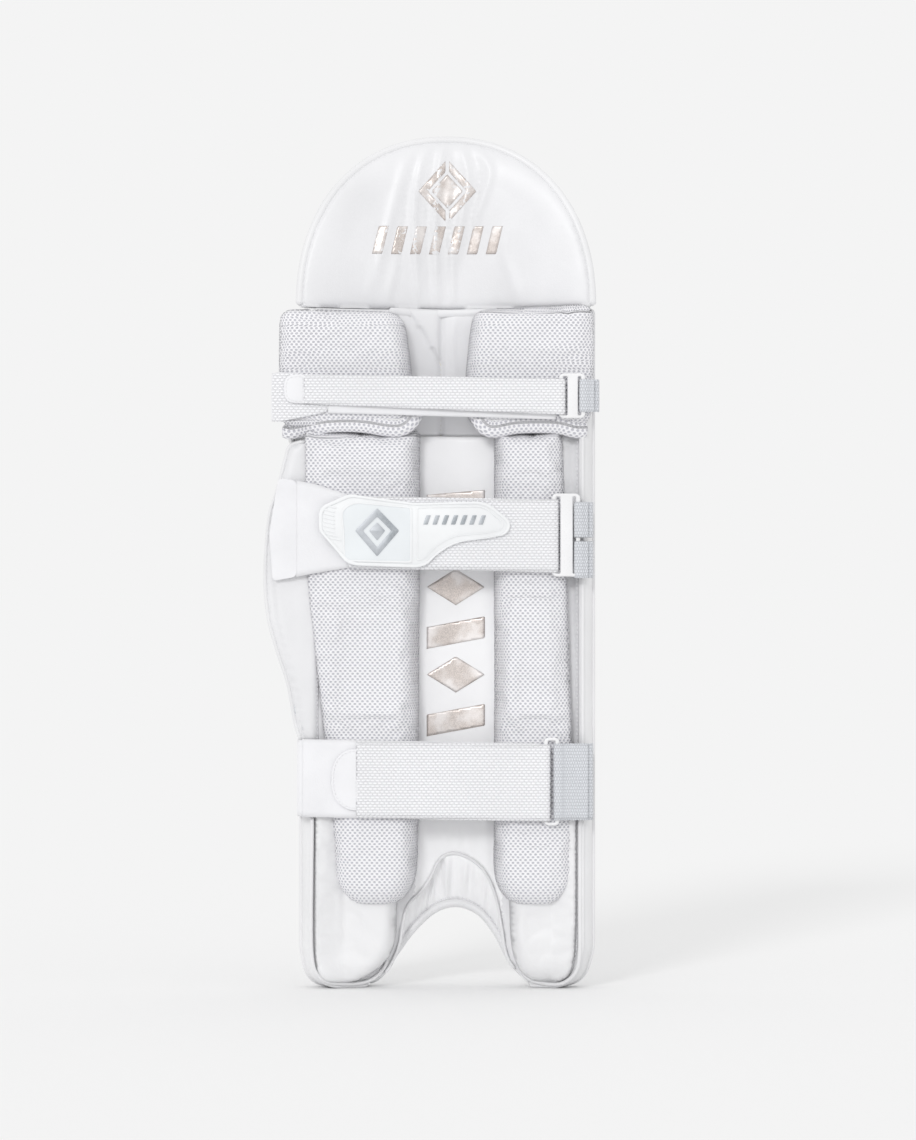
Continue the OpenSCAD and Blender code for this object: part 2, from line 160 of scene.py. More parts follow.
def swell(d, edge, power=2.2):
    """0 at a seam and 1 from edge mm inwards, round in between."""
    t = np.clip(np.asarray(d, float) / edge, 0, 1)
    return (1 - (1 - t) ** power) ** (1 / power)


def line_distance(x, z, line):
    """Distance in the X-Z plane from points to an open line."""
    p = np.stack([np.asarray(x, float), np.asarray(z, float)], -1)
    best = np.full(p.shape[:-1], 1e9)
    line = np.array(line, float)
    for a, b in zip(line[:-1], line[1:]):
        d = b - a
        t = np.clip(((p - a) @ d) / max(d @ d, 1e-9), 0, 1)
        best = np.minimum(best, np.linalg.norm(p - a - t[..., None] * d, axis=-1))
    return best


def ridge(x, z, line, width):
    """1 on a line, falling to 0 beside it and towards its two ends."""
    line = resample(curve(line), 4)
    p = np.stack([np.asarray(x, float), np.asarray(z, float)], -1)
    best, share = np.full(p.shape[:-1], 1e9), np.zeros(p.shape[:-1])
    for i, a in enumerate(line):
        d = np.linalg.norm(p - a, axis=-1)
        share = np.where(d < best, i / (len(line) - 1), share)
        best = np.minimum(best, d)
    return np.exp(-((best / width) ** 2)) * np.sin(np.pi * np.clip(share, 0.02, 0.98)) ** 0.6


def wander(points, size, seed=0.0):
    """Smooth noise of about -1 to 1 at each point, which changes over size mm."""
    return np.array([noise.noise(Vector((p[0] / size + seed, p[1] / size,
                                         p[-1] / size - seed))) for p in points])


def soft_noise(x, z, across, up, layer):
    """Smooth noise of about -1 to 1 over a panel, in lumps of across by up mm."""
    return np.array([noise.noise(Vector((a / across, b / up, layer))) for a, b in zip(x, z)])


def arc_y(radius, x):
    """Depth of the circle of that radius about the leg, at a sideways place."""
    return AXIS_Y + np.sqrt(np.maximum(radius**2 - (np.asarray(x, float) - LEG_X) ** 2, 1.0))


def on_shell(x, z, radius):
    """A shell point, from its sideways place on the batting face and its distance from the leg's axis."""
    sine = np.clip((np.asarray(x, float) - LEG_X) / FRONT_R, -0.999, 0.999)
    return np.stack([LEG_X + radius * sine, AXIS_Y + radius * np.sqrt(1 - sine**2), z + 0 * sine], -1)


def upright(x, z, radius):
    """A point whose sideways place stays the same at every radius."""
    return np.stack([x, arc_y(radius, x), z], -1)


def at_depth(x, z, y):
    """A point given by its own depth."""
    return np.stack([x, y + 0 * np.asarray(x, float), z], -1)


# --- meshes ----------------------------------------------------------------------

def add(name, verts, faces, rest=None, sharp=None):
    """A mesh object from points in mm. Its attribute "rest" holds the cloth's flat coordinates in mm."""
    verts = np.asarray(verts, float)
    mesh = bpy.data.meshes.new(name)
    mesh.from_pydata((verts * MM).tolist(), [], [list(map(int, f)) for f in faces])
    attribute = mesh.attributes.new("rest", "FLOAT_VECTOR", "POINT")
    flat = verts[:, [0, 2, 1]] if rest is None else np.asarray(rest, float)
    attribute.data.foreach_set("vector", flat.astype(np.float32).ravel())
    bm = bmesh.new()
    bm.from_mesh(mesh)
    bmesh.ops.remove_doubles(bm, verts=bm.verts, dist=2e-6)
    bmesh.ops.dissolve_degenerate(bm, edges=bm.edges, dist=1e-7)
    bmesh.ops.recalc_face_normals(bm, faces=bm.faces)
    bm.to_mesh(mesh)
    bm.free()
    mesh.shade_smooth()
    if sharp:
        mesh.set_sharp_from_angle(angle=math.radians(sharp))
    obj = bpy.data.objects.new(name, mesh)
    bpy.context.scene.collection.objects.link(obj)
    return obj


def skin(rings):
    """Points and faces of a closed section carried through the rings, an array of ring, point, xyz."""
    n, k = rings.shape[:2]
    faces = []
    for i in range(n - 1):
        for j in range(k):
            a, b = i * k + j, i * k + (j + 1) % k
            faces.append((a, b, b + k, a + k))
    faces.append(tuple(range(k - 1, -1, -1)))
    faces.append(tuple((n - 1) * k + j for j in range(k)))
    return rings.reshape(-1, 3), faces


def oval(rx, ry, sides=12, power=2.0):
    """A closed section, round at power 2 and squarer above it."""
    a = 2 * np.pi * np.arange(sides) / sides
    c, s = np.cos(a), np.sin(a)
    return np.stack([rx * np.sign(c) * np.abs(c) ** (2 / power), ry * np.sign(s) * np.abs(s) ** (2 / power)],
                    1)


def swept_rings(path, section, out, taper=0.0):
    """Rings of a section carried along a path. out is the direction of the section's first axis."""
    path = np.asarray(path, float)
    t = np.gradient(path, axis=0)
    t /= np.linalg.norm(t, axis=1)[:, None]
    out = np.broadcast_to(np.asarray(out, float), path.shape)
    first = out - (out * t).sum(1)[:, None] * t
    first /= np.linalg.norm(first, axis=1)[:, None]
    second = np.cross(t, first)
    scale = np.ones(len(path))
    if taper:
        along = np.r_[0, np.cumsum(np.linalg.norm(np.diff(path, axis=0), axis=1))]
        scale = np.maximum(swell(np.minimum(along, along[-1] - along), taper, 2.0), 0.08)
    section = np.asarray(section, float)
    spread = first[:, None] * section[None, :, :1] + second[:, None] * section[None, :, 1:]
    return path[:, None] + scale[:, None, None] * spread


def cord_shape(name, path, rx, ry=None, out=TO_LEG, step=2.5, sides=10):
    """A piping or rolled edge along a 3-D path, tapered at both ends."""
    path = resample(path, step)
    ry = ry or rx
    verts, faces = skin(swept_rings(path, oval(rx, ry, sides), out, rx))
    along = np.repeat(np.arange(len(path)) * step, sides)
    around = np.tile(np.arange(sides) * (rx + ry) * np.pi / sides, len(path))
    return add(name, verts, faces, np.stack([along, around, 0 * along], 1))


def fill(outline, spacing):
    """Triangles inside a closed outline: its own points first, then a regular grid."""
    lo, hi = outline.min(0), outline.max(0)
    rows = []
    for j, z in enumerate(np.arange(lo[1] + spacing / 2, hi[1], spacing * math.sqrt(0.75))):
        xs = np.arange(lo[0] + (spacing / 2 if j % 2 else 0), hi[0], spacing)
        rows.append(np.c_[xs, np.full(len(xs), z)])
    grid = np.vstack(rows)
    a, b = outline, np.roll(outline, -1, 0)
    x, z = grid[:, None, 0], grid[:, None, 1]
    rise = np.where(np.abs(b[:, 1] - a[:, 1]) < 1e-9, 1e-9, b[:, 1] - a[:, 1])
    crossing = ((a[:, 1] > z) != (b[:, 1] > z)) & (x < (b[:, 0] - a[:, 0]) * (z - a[:, 1]) / rise + a[:, 0])
    grid = grid[crossing.sum(1) % 2 == 1]
    loop = np.vstack([outline, outline[:1]])
    grid = grid[line_distance(grid[:, 0], grid[:, 1], loop) > 0.55 * spacing]
    points = np.vstack([outline, grid])
    n = len(outline)
    edges = [(i, (i + 1) % n) for i in range(n)]
    verts, _, faces, *_ = delaunay_2d_cdt([Vector(p) for p in points], edges, [], 1, 1e-7)
    flat = np.array([tuple(v) for v in verts])
    distance = line_distance(flat[:, 0], flat[:, 1], loop)
    distance[:n] = 0
    return flat, faces, n, distance


def panel(name, outline, spacing, leg_side, far_side, place=at_depth, unroll=True):
    """A closed cover over an outline. leg_side and far_side give the level at x, z and edge distance."""
    outline = resample(outline, spacing, closed=True)
    flat, faces, rim, d = fill(outline, spacing)
    x, z = flat[:, 0], flat[:, 1]
    near = place(x, z, leg_side(x, z, d))
    back = place(x, z, far_side(x, z, d))
    n = len(flat)
    walls = [(i, (i + 1) % rim, n + (i + 1) % rim, n + i) for i in range(rim)]
    tris = [tuple(f) for f in faces] + [tuple(n + i for i in reversed(f)) for f in faces] + walls
    rest = np.stack([x, z, d], 1)
    if unroll:
        rest[:, 0] = unrolled(flat, near)
    rest = np.vstack([rest, rest])
    obj = add(name, np.vstack([near, back]), tris, rest)
    return obj


def unrolled(flat, points):
    """Sideways cloth coordinate: the arc length along each row of the surface from its middle."""
    width = 6.0
    out = np.zeros(len(flat))
    middle = (flat[:, 0].min() + flat[:, 0].max()) / 2
    row = np.round(flat[:, 1] / width).astype(int)
    for r in np.unique(row):
        own = np.where(row == r)[0]
        order = own[np.argsort(flat[own, 0])]
        x, y = flat[order, 0], points[order, 1]
        y_smooth = np.convolve(np.pad(y, 2, mode="edge"), np.ones(5) / 5, mode="valid")
        length = np.r_[0, np.cumsum(np.hypot(np.diff(x), np.diff(y_smooth)))]
        if len(x) > 1:
            length -= np.interp(middle, x, length)
            out[order] = length
    return out


def plate(name, loops, y, thickness, bevel, sharp=50):
    """A flat plate with bevelled edges, from closed loops in X-Z; y is the depth of its leg-side face."""
    data = bpy.data.curves.new(name, "CURVE")
    data.dimensions = "2D"
    data.fill_mode = "BOTH"
    data.extrude = (thickness / 2 - bevel) * MM
    data.bevel_depth = bevel * MM
    data.bevel_resolution = 2
    data.offset = -bevel * MM
    for loop in loops:
        spline = data.splines.new("POLY")
        spline.points.add(len(loop) - 1)
        spline.use_cyclic_u = True
        for point, (px, pz) in zip(spline.points, loop):
            point.co = (px * MM, pz * MM, 0, 1)
    temp = bpy.data.objects.new(name + "_curve", data)
    bpy.context.scene.collection.objects.link(temp)
    bpy.context.view_layer.update()
    mesh = bpy.data.meshes.new_from_object(temp.evaluated_get(bpy.context.evaluated_depsgraph_get()))
    co = np.zeros(len(mesh.vertices) * 3)
    mesh.vertices.foreach_get("co", co)
    co = co.reshape(-1, 3) / MM
    verts = np.stack([co[:, 0], y + thickness / 2 - co[:, 2], co[:, 1]], 1)
    faces = [tuple(p.vertices) for p in mesh.polygons]
    bpy.data.objects.remove(temp)
    bpy.data.curves.remove(data)
    bpy.data.meshes.remove(mesh)
    return add(name, verts, faces, sharp=sharp)


def tree(obj):
    """A search tree over a finished mesh."""
    bm = bmesh.new()
    bm.from_mesh(obj.data)
    found = BVHTree.FromBMesh(bm)
    bm.free()
    return found


def drop(surface, x, z, lift=0.0, start=-120.0):
    """Depth of the leg-side surface at x, z, raised by lift towards the leg."""
    hit = surface.ray_cast(Vector((x * MM, start * MM, z * MM)), Vector((0, 1, 0)))
    return (hit[0].y / MM if hit[0] is not None else 0.0) - lift


def stitches(name, path, pitch=3.6, length=2.4, radius=0.33, out=TO_LEG):
    """A row of thread stitches along a 3-D path."""
    path = resample(path, pitch)
    out = np.broadcast_to(np.asarray(out, float), path.shape)
    verts, faces = [], []
    section = oval(radius, radius, 6)
    for i in range(len(path) - 1):
        a, b = path[i], path[i + 1]
        half = (b - a) / np.linalg.norm(b - a) * length / 2
        middle = (a + b) / 2
        bow = out[i] / np.linalg.norm(out[i]) * radius
        line = np.array([middle - half - bow * 0.8, middle - half * 0.6 + bow * 0.4,
                         middle + half * 0.6 + bow * 0.4,
                         middle + half - bow * 0.8])
        v, f = skin(swept_rings(line, section, np.cross(half, out[i])))
        faces += [tuple(len(verts) + j for j in face) for face in f]
        verts += v.tolist()
    return add(name, verts, faces)


# --- cloth -------------------------------------------------------------------------

SIMULATED = []


def inflate(obj, held, pressure=4.0, growth=0.03, cap=6.0):
    """Notes a cover for the cloth run. held is 1 where it is sewn down or backed, and 0 where it is free."""
    SIMULATED.append((obj, np.asarray(held, float), pressure, growth, cap))


def run_cloth(frames=18):
    """Blows up the noted covers, with a little spare cloth, so that they crown and wrinkle at their seams."""
    scene = bpy.context.scene
    before = {}
    for obj, held, pressure, growth, _ in SIMULATED:
        group = obj.vertex_groups.new(name="held")
        for weight in np.unique(np.round(held, 2)):
            if weight > 0:
                group.add(np.where(np.round(held, 2) == weight)[0].tolist(), float(weight), "REPLACE")
        cloth = obj.modifiers.new("cloth", "CLOTH")
        s = cloth.settings
        s.quality = 5
        s.mass = 0.25
        s.tension_stiffness = s.compression_stiffness = 22
        s.shear_stiffness = 12
        s.bending_stiffness = 0.35
        s.vertex_group_mass = "held"
        s.use_pressure = True
        s.uniform_pressure_force = pressure
        s.shrink_min = -growth
        s.effector_weights.gravity = 0
        cloth.collision_settings.use_collision = False
        cloth.point_cache.frame_start = 1
        cloth.point_cache.frame_end = frames
        co = np.zeros(len(obj.data.vertices) * 3)
        obj.data.vertices.foreach_get("co", co)
        before[obj.name] = co.reshape(-1, 3)
    for f in range(1, frames + 1):
        scene.frame_set(f)
    graph = bpy.context.evaluated_depsgraph_get()
    for obj, held, _, _, cap in SIMULATED:
        mesh = obj.evaluated_get(graph).data
        co = np.zeros(len(mesh.vertices) * 3)
        mesh.vertices.foreach_get("co", co)
        move = co.reshape(-1, 3) - before[obj.name]
        size = np.linalg.norm(move, axis=1)
        limit = cap * MM
        move *= (limit * np.tanh(size / limit) / np.maximum(size, 1e-9))[:, None]
        obj.modifiers.clear()
        obj.data.vertices.foreach_set("co", (before[obj.name] + move).ravel())
        obj.data.update()
    scene.frame_set(1)


def points_of(obj):
    """The mesh's points in mm."""
    co = np.zeros(len(obj.data.vertices) * 3)
    obj.data.vertices.foreach_get("co", co)
    return co.reshape(-1, 3) / MM


# --- materials -----------------------------------------------------------------------

class Shader:
    """A material being built from nodes."""

    def __init__(self, name, colour, roughness, **constants):
        self.material = bpy.data.materials.new(name)
        self.material.use_nodes = True
        self.nodes = self.material.node_tree.nodes
        self.links = self.material.node_tree.links
        self.bsdf = self.nodes["Principled BSDF"]
        self.bsdf.inputs["Base Color"].default_value = (*colour, 1)
        self.bsdf.inputs["Roughness"].default_value = roughness
        for socket, value in constants.items():
            self.bsdf.inputs[socket.replace("_", " ")].default_value = value
        self.material.diffuse_color = (*colour, 1)

    def node(self, kind, inputs=None, **settings):
        made = self.nodes.new(kind)
        for key, value in settings.items():
            setattr(made, key, value)
        for socket, value in (inputs or {}).items():
            if isinstance(value, bpy.types.NodeSocket):
                self.links.new(value, made.inputs[socket])
            else:
                made.inputs[socket].default_value = value
        return made

    def maths(self, operation, a, b=0.0):
        return self.node("ShaderNodeMath", {0: a, 1: b}, operation=operation).outputs[0]

    def object_place(self):
        return self.node("ShaderNodeTexCoord").outputs["Object"]

    def cloth_place(self):
        return self.node("ShaderNodeAttribute", attribute_name="rest").outputs["Vector"]

    def noise(self, place, scale, detail=3.0, roughness=0.5):
        inputs = {"Vector": place, "Scale": scale, "Detail": detail, "Roughness": roughness}
        return self.node("ShaderNodeTexNoise", inputs).outputs["Fac"]

    def voronoi(self, place, scale, feature="F1"):
        made = self.node("ShaderNodeTexVoronoi", {"Vector": place, "Scale": scale}, feature=feature)
        return made.outputs["Distance"]

    def span(self, value, low, high, to_low=0.0, to_high=1.0, smooth=False):
        kind = "SMOOTHSTEP" if smooth else "LINEAR"
        inputs = {"Value": value, "From Min": low, "From Max": high, "To Min": to_low, "To Max": to_high}
        return self.node("ShaderNodeMapRange", inputs, interpolation_type=kind).outputs["Result"]

    def colour(self, share, first, second):
        made = self.node("ShaderNodeMix", data_type="RGBA")
        self.links.new(share, made.inputs["Factor"])
        for socket, value in ((6, first), (7, second)):
            if isinstance(value, bpy.types.NodeSocket):
                self.links.new(value, made.inputs[socket])
            else:
                made.inputs[socket].default_value = (*value, 1)
        return made.outputs[2]

    def set(self, socket, value):
        self.links.new(value, self.bsdf.inputs[socket])

    def bump(self, *layers):
        """Each layer is a height from 0 to 1, its depth in mm and its strength."""
        normal = None
        for height, depth, strength in layers:
            inputs = {"Height": height, "Distance": depth * MM, "Strength": strength}
            if normal is not None:
                inputs["Normal"] = normal
            normal = self.node("ShaderNodeBump", inputs).outputs["Normal"]
        self.set("Normal", normal)


def cover_material(name, colour, roughness=0.42, grain=1.0):
    """Coated cover cloth: a fine pebble grain, faint soiling and uneven gloss."""
    s = Shader(name, colour, roughness, Coat_Weight=0.12, Coat_Roughness=0.35, Specular_IOR_Level=0.45)
    place = s.object_place()
    pebble = s.voronoi(place, 900)
    weave = s.noise(place, 1500, 2)
    crease = s.noise(place, 60, 4, 0.6)
    cloud = s.noise(place, 14, 3)
    darker = tuple(c * 0.93 for c in colour)
    s.set("Base Color", s.colour(s.span(cloud, 0.35, 0.7), colour, darker))
    s.set("Roughness", s.span(s.noise(place, 35, 3), 0.3, 0.7, roughness - 0.07, roughness + 0.1))
    s.bump((crease, 0.9 * grain, 0.35), (pebble, 0.12, 0.5 * grain), (weave, 0.05, 0.4 * grain))
    return s.material


def air_mesh_material(name, colour, hole_shade):
    """Spacer mesh: rows of staggered oval holes between knitted ribs, with painted shade in the holes."""
    s = Shader(name, colour, 0.78, Sheen_Weight=0.25, Sheen_Roughness=0.5)
    place = s.cloth_place()
    split = s.node("ShaderNodeSeparateXYZ", {0: place})
    pitch, row_height = 4.0, 2.2
    v = s.maths("DIVIDE", split.outputs[1], row_height)
    odd = s.maths("FLOORED_MODULO", s.maths("FLOOR", v), 2.0)
    u = s.maths("ADD", s.maths("DIVIDE", split.outputs[0], pitch), s.maths("MULTIPLY", odd, 0.5))
    du = s.maths("SUBTRACT", s.maths("FRACT", u), 0.5)
    dv = s.maths("MULTIPLY", s.maths("SUBTRACT", s.maths("FRACT", v), 0.5), 0.72)
    distance = s.maths("SQRT", s.maths("ADD", s.maths("MULTIPLY", du, du), s.maths("MULTIPLY", dv, dv)))
    rim = s.span(distance, 0.14, 0.36, smooth=True)
    yarn = s.noise(place, 1.6, 3)
    cloud = s.noise(s.object_place(), 12, 3)
    tinted = s.colour(s.span(cloud, 0.35, 0.7), colour, tuple(c * 0.94 for c in colour))
    fuzzy = s.colour(s.span(yarn, 0.3, 0.75), tinted, tuple(min(c * 1.08, 1) for c in colour))
    # The holes take a darker colour: painted shade down inside each hole.
    s.set("Base Color", s.colour(rim, hole_shade, fuzzy))
    s.bump((rim, 0.9, 0.8), (yarn, 0.25, 0.5))
    return s.material


def webbing_material(name, colour, pitch_u, pitch_v, depth=0.35):
    """Woven strap: a checker of raised threads with soft gaps, and painted shade in the gaps."""
    s = Shader(name, colour, 0.7, Sheen_Weight=0.3, Sheen_Roughness=0.4)
    place = s.cloth_place()
    split = s.node("ShaderNodeSeparateXYZ", {0: place})
    row = s.maths("DIVIDE", split.outputs[1], pitch_v)
    odd = s.maths("FLOORED_MODULO", s.maths("FLOOR", row), 2.0)
    column = s.maths("ADD", s.maths("DIVIDE", split.outputs[0], pitch_u), s.maths("MULTIPLY", odd, 0.5))
    across = s.maths("SINE", s.maths("MULTIPLY", s.maths("FRACT", column), math.pi))
    along = s.maths("SINE", s.maths("MULTIPLY", s.maths("FRACT", row), math.pi))
    height = s.span(s.maths("MULTIPLY", across, along), 0.0, 0.75, smooth=True)
    fuzz = s.noise(place, 2.4, 3)
    cloud = s.noise(s.object_place(), 16, 3)
    lit = s.colour(s.span(cloud, 0.35, 0.7), colour, tuple(c * 0.95 for c in colour))
    # Where the weave is low the colour drops to a darker copy: painted shade between the threads.
    s.set("Base Color", s.colour(s.span(height, 0.0, 0.55), tuple(c * 0.78 for c in colour), lit))
    s.bump((height, depth, 0.8), (fuzz, 0.25, 0.35))
    return s.material


def smooth_material(name, colour, roughness, scale, depth, **constants):
    """Moulded or brushed surface with a fine texture."""
    s = Shader(name, colour, roughness, **constants)
    place = s.object_place()
    fine = s.noise(place, scale, 3)
    cloud = s.noise(place, 30, 3)
    s.set("Base Color", s.colour(s.span(cloud, 0.35, 0.7), colour, tuple(c * 0.94 for c in colour)))
    s.set("Roughness", s.span(fine, 0.3, 0.7, roughness - 0.06, roughness + 0.08))
    s.bump((fine, depth, 0.5))
    return s.material


def foil_material(name, colour, pale):
    """Metal foil printed on cloth: speckled, rubbed and paler in clouds."""
    s = Shader(name, colour, 0.34, Metallic=0.55)
    place = s.object_place()
    speck = s.noise(place, 1400, 2)
    rub = s.noise(place, 45, 4)
    worn = s.maths("MULTIPLY", s.span(rub, 0.42, 0.62, smooth=True), 0.75)
    grainy = s.colour(s.span(speck, 0.35, 0.65), tuple(c * 0.72 for c in colour), colour)
    s.set("Base Color", s.colour(worn, grainy, pale))
    s.set("Roughness", s.span(rub, 0.3, 0.7, 0.26, 0.5))
    s.bump((speck, 0.08, 0.4), (s.voronoi(place, 900), 0.1, 0.3))
    return s.material


def foam_material(name, colour):
    """Closed-cell foam: small round cells, with painted shade in their pits."""
    s = Shader(name, colour, 0.9)
    place = s.object_place()
    cells = s.voronoi(place, 700)
    # The cells' sunken middles take a darker copy of the colour: painted shade in the pits.
    s.set("Base Color", s.colour(s.span(cells, 0.1, 0.6), tuple(c * 0.8 for c in colour), colour))
    s.bump((cells, 0.3, 0.6))
    return s.material


COVER = cover_material("cover_cloth", (0.82, 0.82, 0.83))
COVER_SOFT = cover_material("lining_cloth", (0.80, 0.80, 0.815), 0.42, 0.8)
# A lighter copy of the lining cloth: painted light that brightens the deep centre channel, also used in the
# arch.
LINING_PAINTED_LIGHT = cover_material("lining_cloth_painted_light", (0.95, 0.95, 0.96), 0.38, 0.8)
TRIM = cover_material("trim_cloth", (0.80, 0.80, 0.81), 0.45, 0.6)
# The last colour is the painted shade inside the mesh holes.
MESH = air_mesh_material("air_mesh", (0.87, 0.865, 0.89), (0.55, 0.55, 0.60))
WOVEN = webbing_material("woven_strap", (0.93, 0.93, 0.955), 3.8, 2.3, 0.7)
ELASTIC = webbing_material("ribbed_webbing", (0.72, 0.74, 0.78), 2.0, 2.6, 0.6)
BRUSHED = smooth_material("brushed_loop_cloth", (0.83, 0.83, 0.85), 0.85, 900, 0.2, Sheen_Weight=0.4)
HOOK = smooth_material("hook_tape", (0.83, 0.83, 0.85), 0.55, 1400, 0.15)
PLASTIC = smooth_material("ring_plastic", (0.84, 0.84, 0.85), 0.3, 700, 0.03, Specular_IOR_Level=0.5)
RUBBER = smooth_material("badge_rubber", (0.84, 0.85, 0.86), 0.45, 900, 0.06)
RUBBER_GREY = smooth_material("badge_panel", (0.78, 0.81, 0.83), 0.5, 1100, 0.08)
SILVER = foil_material("silver_print", (0.42, 0.45, 0.48), (0.55, 0.57, 0.6))
FOIL = foil_material("foil_print", (0.74, 0.67, 0.63), (0.86, 0.83, 0.82))
THREAD = smooth_material("thread", (0.82, 0.82, 0.84), 0.6, 3000, 0.05)
FOAM = foam_material("foam", (0.7, 0.72, 0.75))
BOARD = smooth_material("board", (0.72, 0.70, 0.64), 0.7, 300, 0.1)


def finish_piece(obj, material, body, slot, *nodes):
    """Gives a piece its material and body, and hides the CAD nodes that it stands for. The slot argument is
    not used.
    """
    obj.data.materials.clear()
    obj.data.materials.append(material)
    if body:
        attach(obj, body)
    if nodes:
        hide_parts(*nodes)
    return obj


# --- batting face --------------------------------------------------------------------

SHELL_BOTTOM = np.vstack([curve(LEFT_LOBE), curve(ARCH_OUTER), curve(RIGHT_LOBE)])
SHELL_BOTTOM = SHELL_BOTTOM[np.argsort(SHELL_BOTTOM[:, 0])]
RIB_PITCH = math.radians(7.8)
RIB_R = 15.2
RIB_C = FRONT_R + 1


def shin_rib(index):
    """One vertical roll: a sewn channel, filled tight and drawn in at both ends."""
    angle = (index - 4.5) * RIB_PITCH
    out = np.array([math.sin(angle), math.cos(angle), 0])
    side = np.array([math.cos(angle), -math.sin(angle), 0])
    centre = np.array([LEG_X, AXIS_Y, 0]) + RIB_C * out
    phi = np.radians(np.linspace(-97, 97, 21))
    rows = 110
    rings = np.zeros((rows, len(phi), 3))
    share = np.linspace(0, 1, rows)
    share = share - 0.06 * np.sin(2 * np.pi * share)
    for j, p in enumerate(phi):
        place = centre + RIB_R * math.sin(p) * side
        x_ref = LEG_X + (place[0] - LEG_X) * FRONT_R / np.hypot(place[0] - LEG_X, place[1] - AXIS_Y)
        low = np.interp(x_ref, SHELL_BOTTOM[:, 0], SHELL_BOTTOM[:, 1])
        z = low + (KNEE_Z - 0.6 - low) * share
        end = swell(np.minimum(z - low, KNEE_Z - 0.6 - z), 15, 2)
        gather = 0.35 * np.sin(z * 2 * np.pi / 11 + index) * (1 - end)
        plump = 1 + 0.018 * np.array([noise.noise(Vector((index * 3.1, p * 0.8, v / 46))) for v in z])
        height = np.maximum(RIB_R * math.cos(p), -1.0) * (0.12 + 0.88 * end) * plump + gather * math.cos(p)
        rings[:, j] = centre + np.outer(height, out) + RIB_R * math.sin(p) * side
        rings[:, j, 2] = z
    verts, faces = skin(rings)
    obj = add(f"shin_rib_cover_{index}", verts, faces)
    finish_piece(obj, COVER, "shell", "cover", f"shin_rib_{index}")


def knee_roll(node, index):
    """One horizontal roll across the knee."""
    lo, hi = box(node)
    z_mid, half = (lo[2] + hi[2]) / 2, (hi[2] - lo[2]) / 2 + 0.1
    angles = np.radians(np.linspace(-34.6, 29.8, 90))
    phi = np.radians(np.linspace(-94, 94, 21))
    rings = np.zeros((len(angles), len(phi), 3))
    centre_r = FRONT_R - 2
    for i, a in enumerate(angles):
        along = min(a - angles[0], angles[-1] - a) * FRONT_R
        end = float(swell(along, 17, 2))
        plump = 1 + 0.03 * noise.noise(Vector((index * 5.3, a * 7, 0.4)))
        radius = centre_r + np.maximum(half * np.cos(phi) * (0.25 + 0.75 * end) * plump, 1.6)
        rings[i, :, 0] = LEG_X + radius * math.sin(a)
        rings[i, :, 1] = AXIS_Y + radius * math.cos(a)
        rings[i, :, 2] = z_mid + half * np.sin(phi) * (0.72 + 0.28 * end)
    verts, faces = skin(rings)
    obj = add(node + "_cover", verts, faces)
    finish_piece(obj, COVER, "shell", "cover", node)
    middle = np.array([LEG_X, AXIS_Y, z_mid])
    spokes = rings[5:-5] - middle
    depth = np.hypot(spokes[..., 0], spokes[..., 1])[..., None]
    inner = np.concatenate([spokes[..., :2] * (1 - 2.2 / depth), spokes[..., 2:] * 0.86], axis=2) + middle
    verts, faces = skin(inner)
    core = add(node + "_filling", verts, faces)
    finish_piece(core, FOAM, "shell", "foam", "knee_roll_cores")


# --- top hat -----------------------------------------------------------------------

HAT_HALF, HAT_MID = 122.0, 10.0
HAT_H = box("top_hat_binding")[1][2] - HAT_Z


def hat_curve(inset, count=72):
    """The dome's edge from left to right, drawn in by inset."""
    a = np.pi * (1 - np.arange(count + 1) / count)
    x = HAT_MID + np.sign(np.cos(a)) * (HAT_HALF - inset) * np.abs(np.cos(a)) ** 0.92
    return np.stack([x, HAT_Z + (HAT_H - inset) * np.sin(a) ** 0.92], 1)


HAT_FOLDS = [
    ([(-20, 690), (-30, 655), (-42, 610), (-52, 572)], 4.5, 1.6),
    ([(-6, 692), (-14, 660), (-16, 620), (-12, 562)], 3.0, 2.2),
    ([(8, 696), (4, 668), (1, 630), (3, 560)], 2.6, 2.4),
    ([(22, 694), (28, 664), (22, 630), (17, 590)], 3.2, 1.9),
    ([(36, 690), (46, 672), (40, 648), (30, 622)], 3.5, 1.5),
    ([(12, 650), (13, 620), (15, 590), (16, 560)], 2.6, 1.7),
    ([(-30, 600), (-34, 584), (-37, 570), (-38, 560)], 3.5, 1.0),
    ([(62, 630), (58, 606), (64, 584), (70, 562)], 4.5, 0.9),
    ([(-13, 688), (-21, 658), (-26, 620), (-28, 575)], 1.5, -1.0),
    ([(1, 694), (-4, 660), (-6, 625), (-4, 562)], 1.3, -1.2),
    ([(15, 692), (17, 662), (12, 628), (10, 566)], 1.3, -1.2),
    ([(29, 692), (38, 668), (33, 640), (25, 600)], 1.5, -1.1),
    ([(-40, 640), (-47, 612), (-49, 590), (-48, 568)], 1.6, -0.7),
]


def top_hat_lining():
    """Smooth lining of the dome, drawn into soft gathers from its top to its seam."""
    edge = hat_curve(3.0)

    def leg_side(x, z, d):
        dome = line_distance(x, z, edge)
        rolled = 214.8 - 7.6 * swell(dome, 24, 2.0)
        seam = 1.6 * (1 - swell(z - HAT_Z, 9, 2.0))
        puff = 1.6 * swell(dome, 60) * swell(z - HAT_Z, 40)
        folds = sum(h * ridge(x, z, line, w) for line, w, h in HAT_FOLDS)
        soft = soft_noise(x, z, 34, 50, 2.0)
        return rolled + seam - puff - 1.6 * folds * swell(dome, 10) - 1.1 * soft * swell(dome, 30)

    def far_side(x, z, d):
        dome = line_distance(x, z, edge)
        return 215.2 - 6.4 * swell(dome, 24, 2.0)

    obj = panel("top_hat_lining_cover", edge, 2.6, leg_side, far_side, upright)
    finish_piece(obj, COVER_SOFT, "shell", "cover", "top_hat_lining")
    return obj


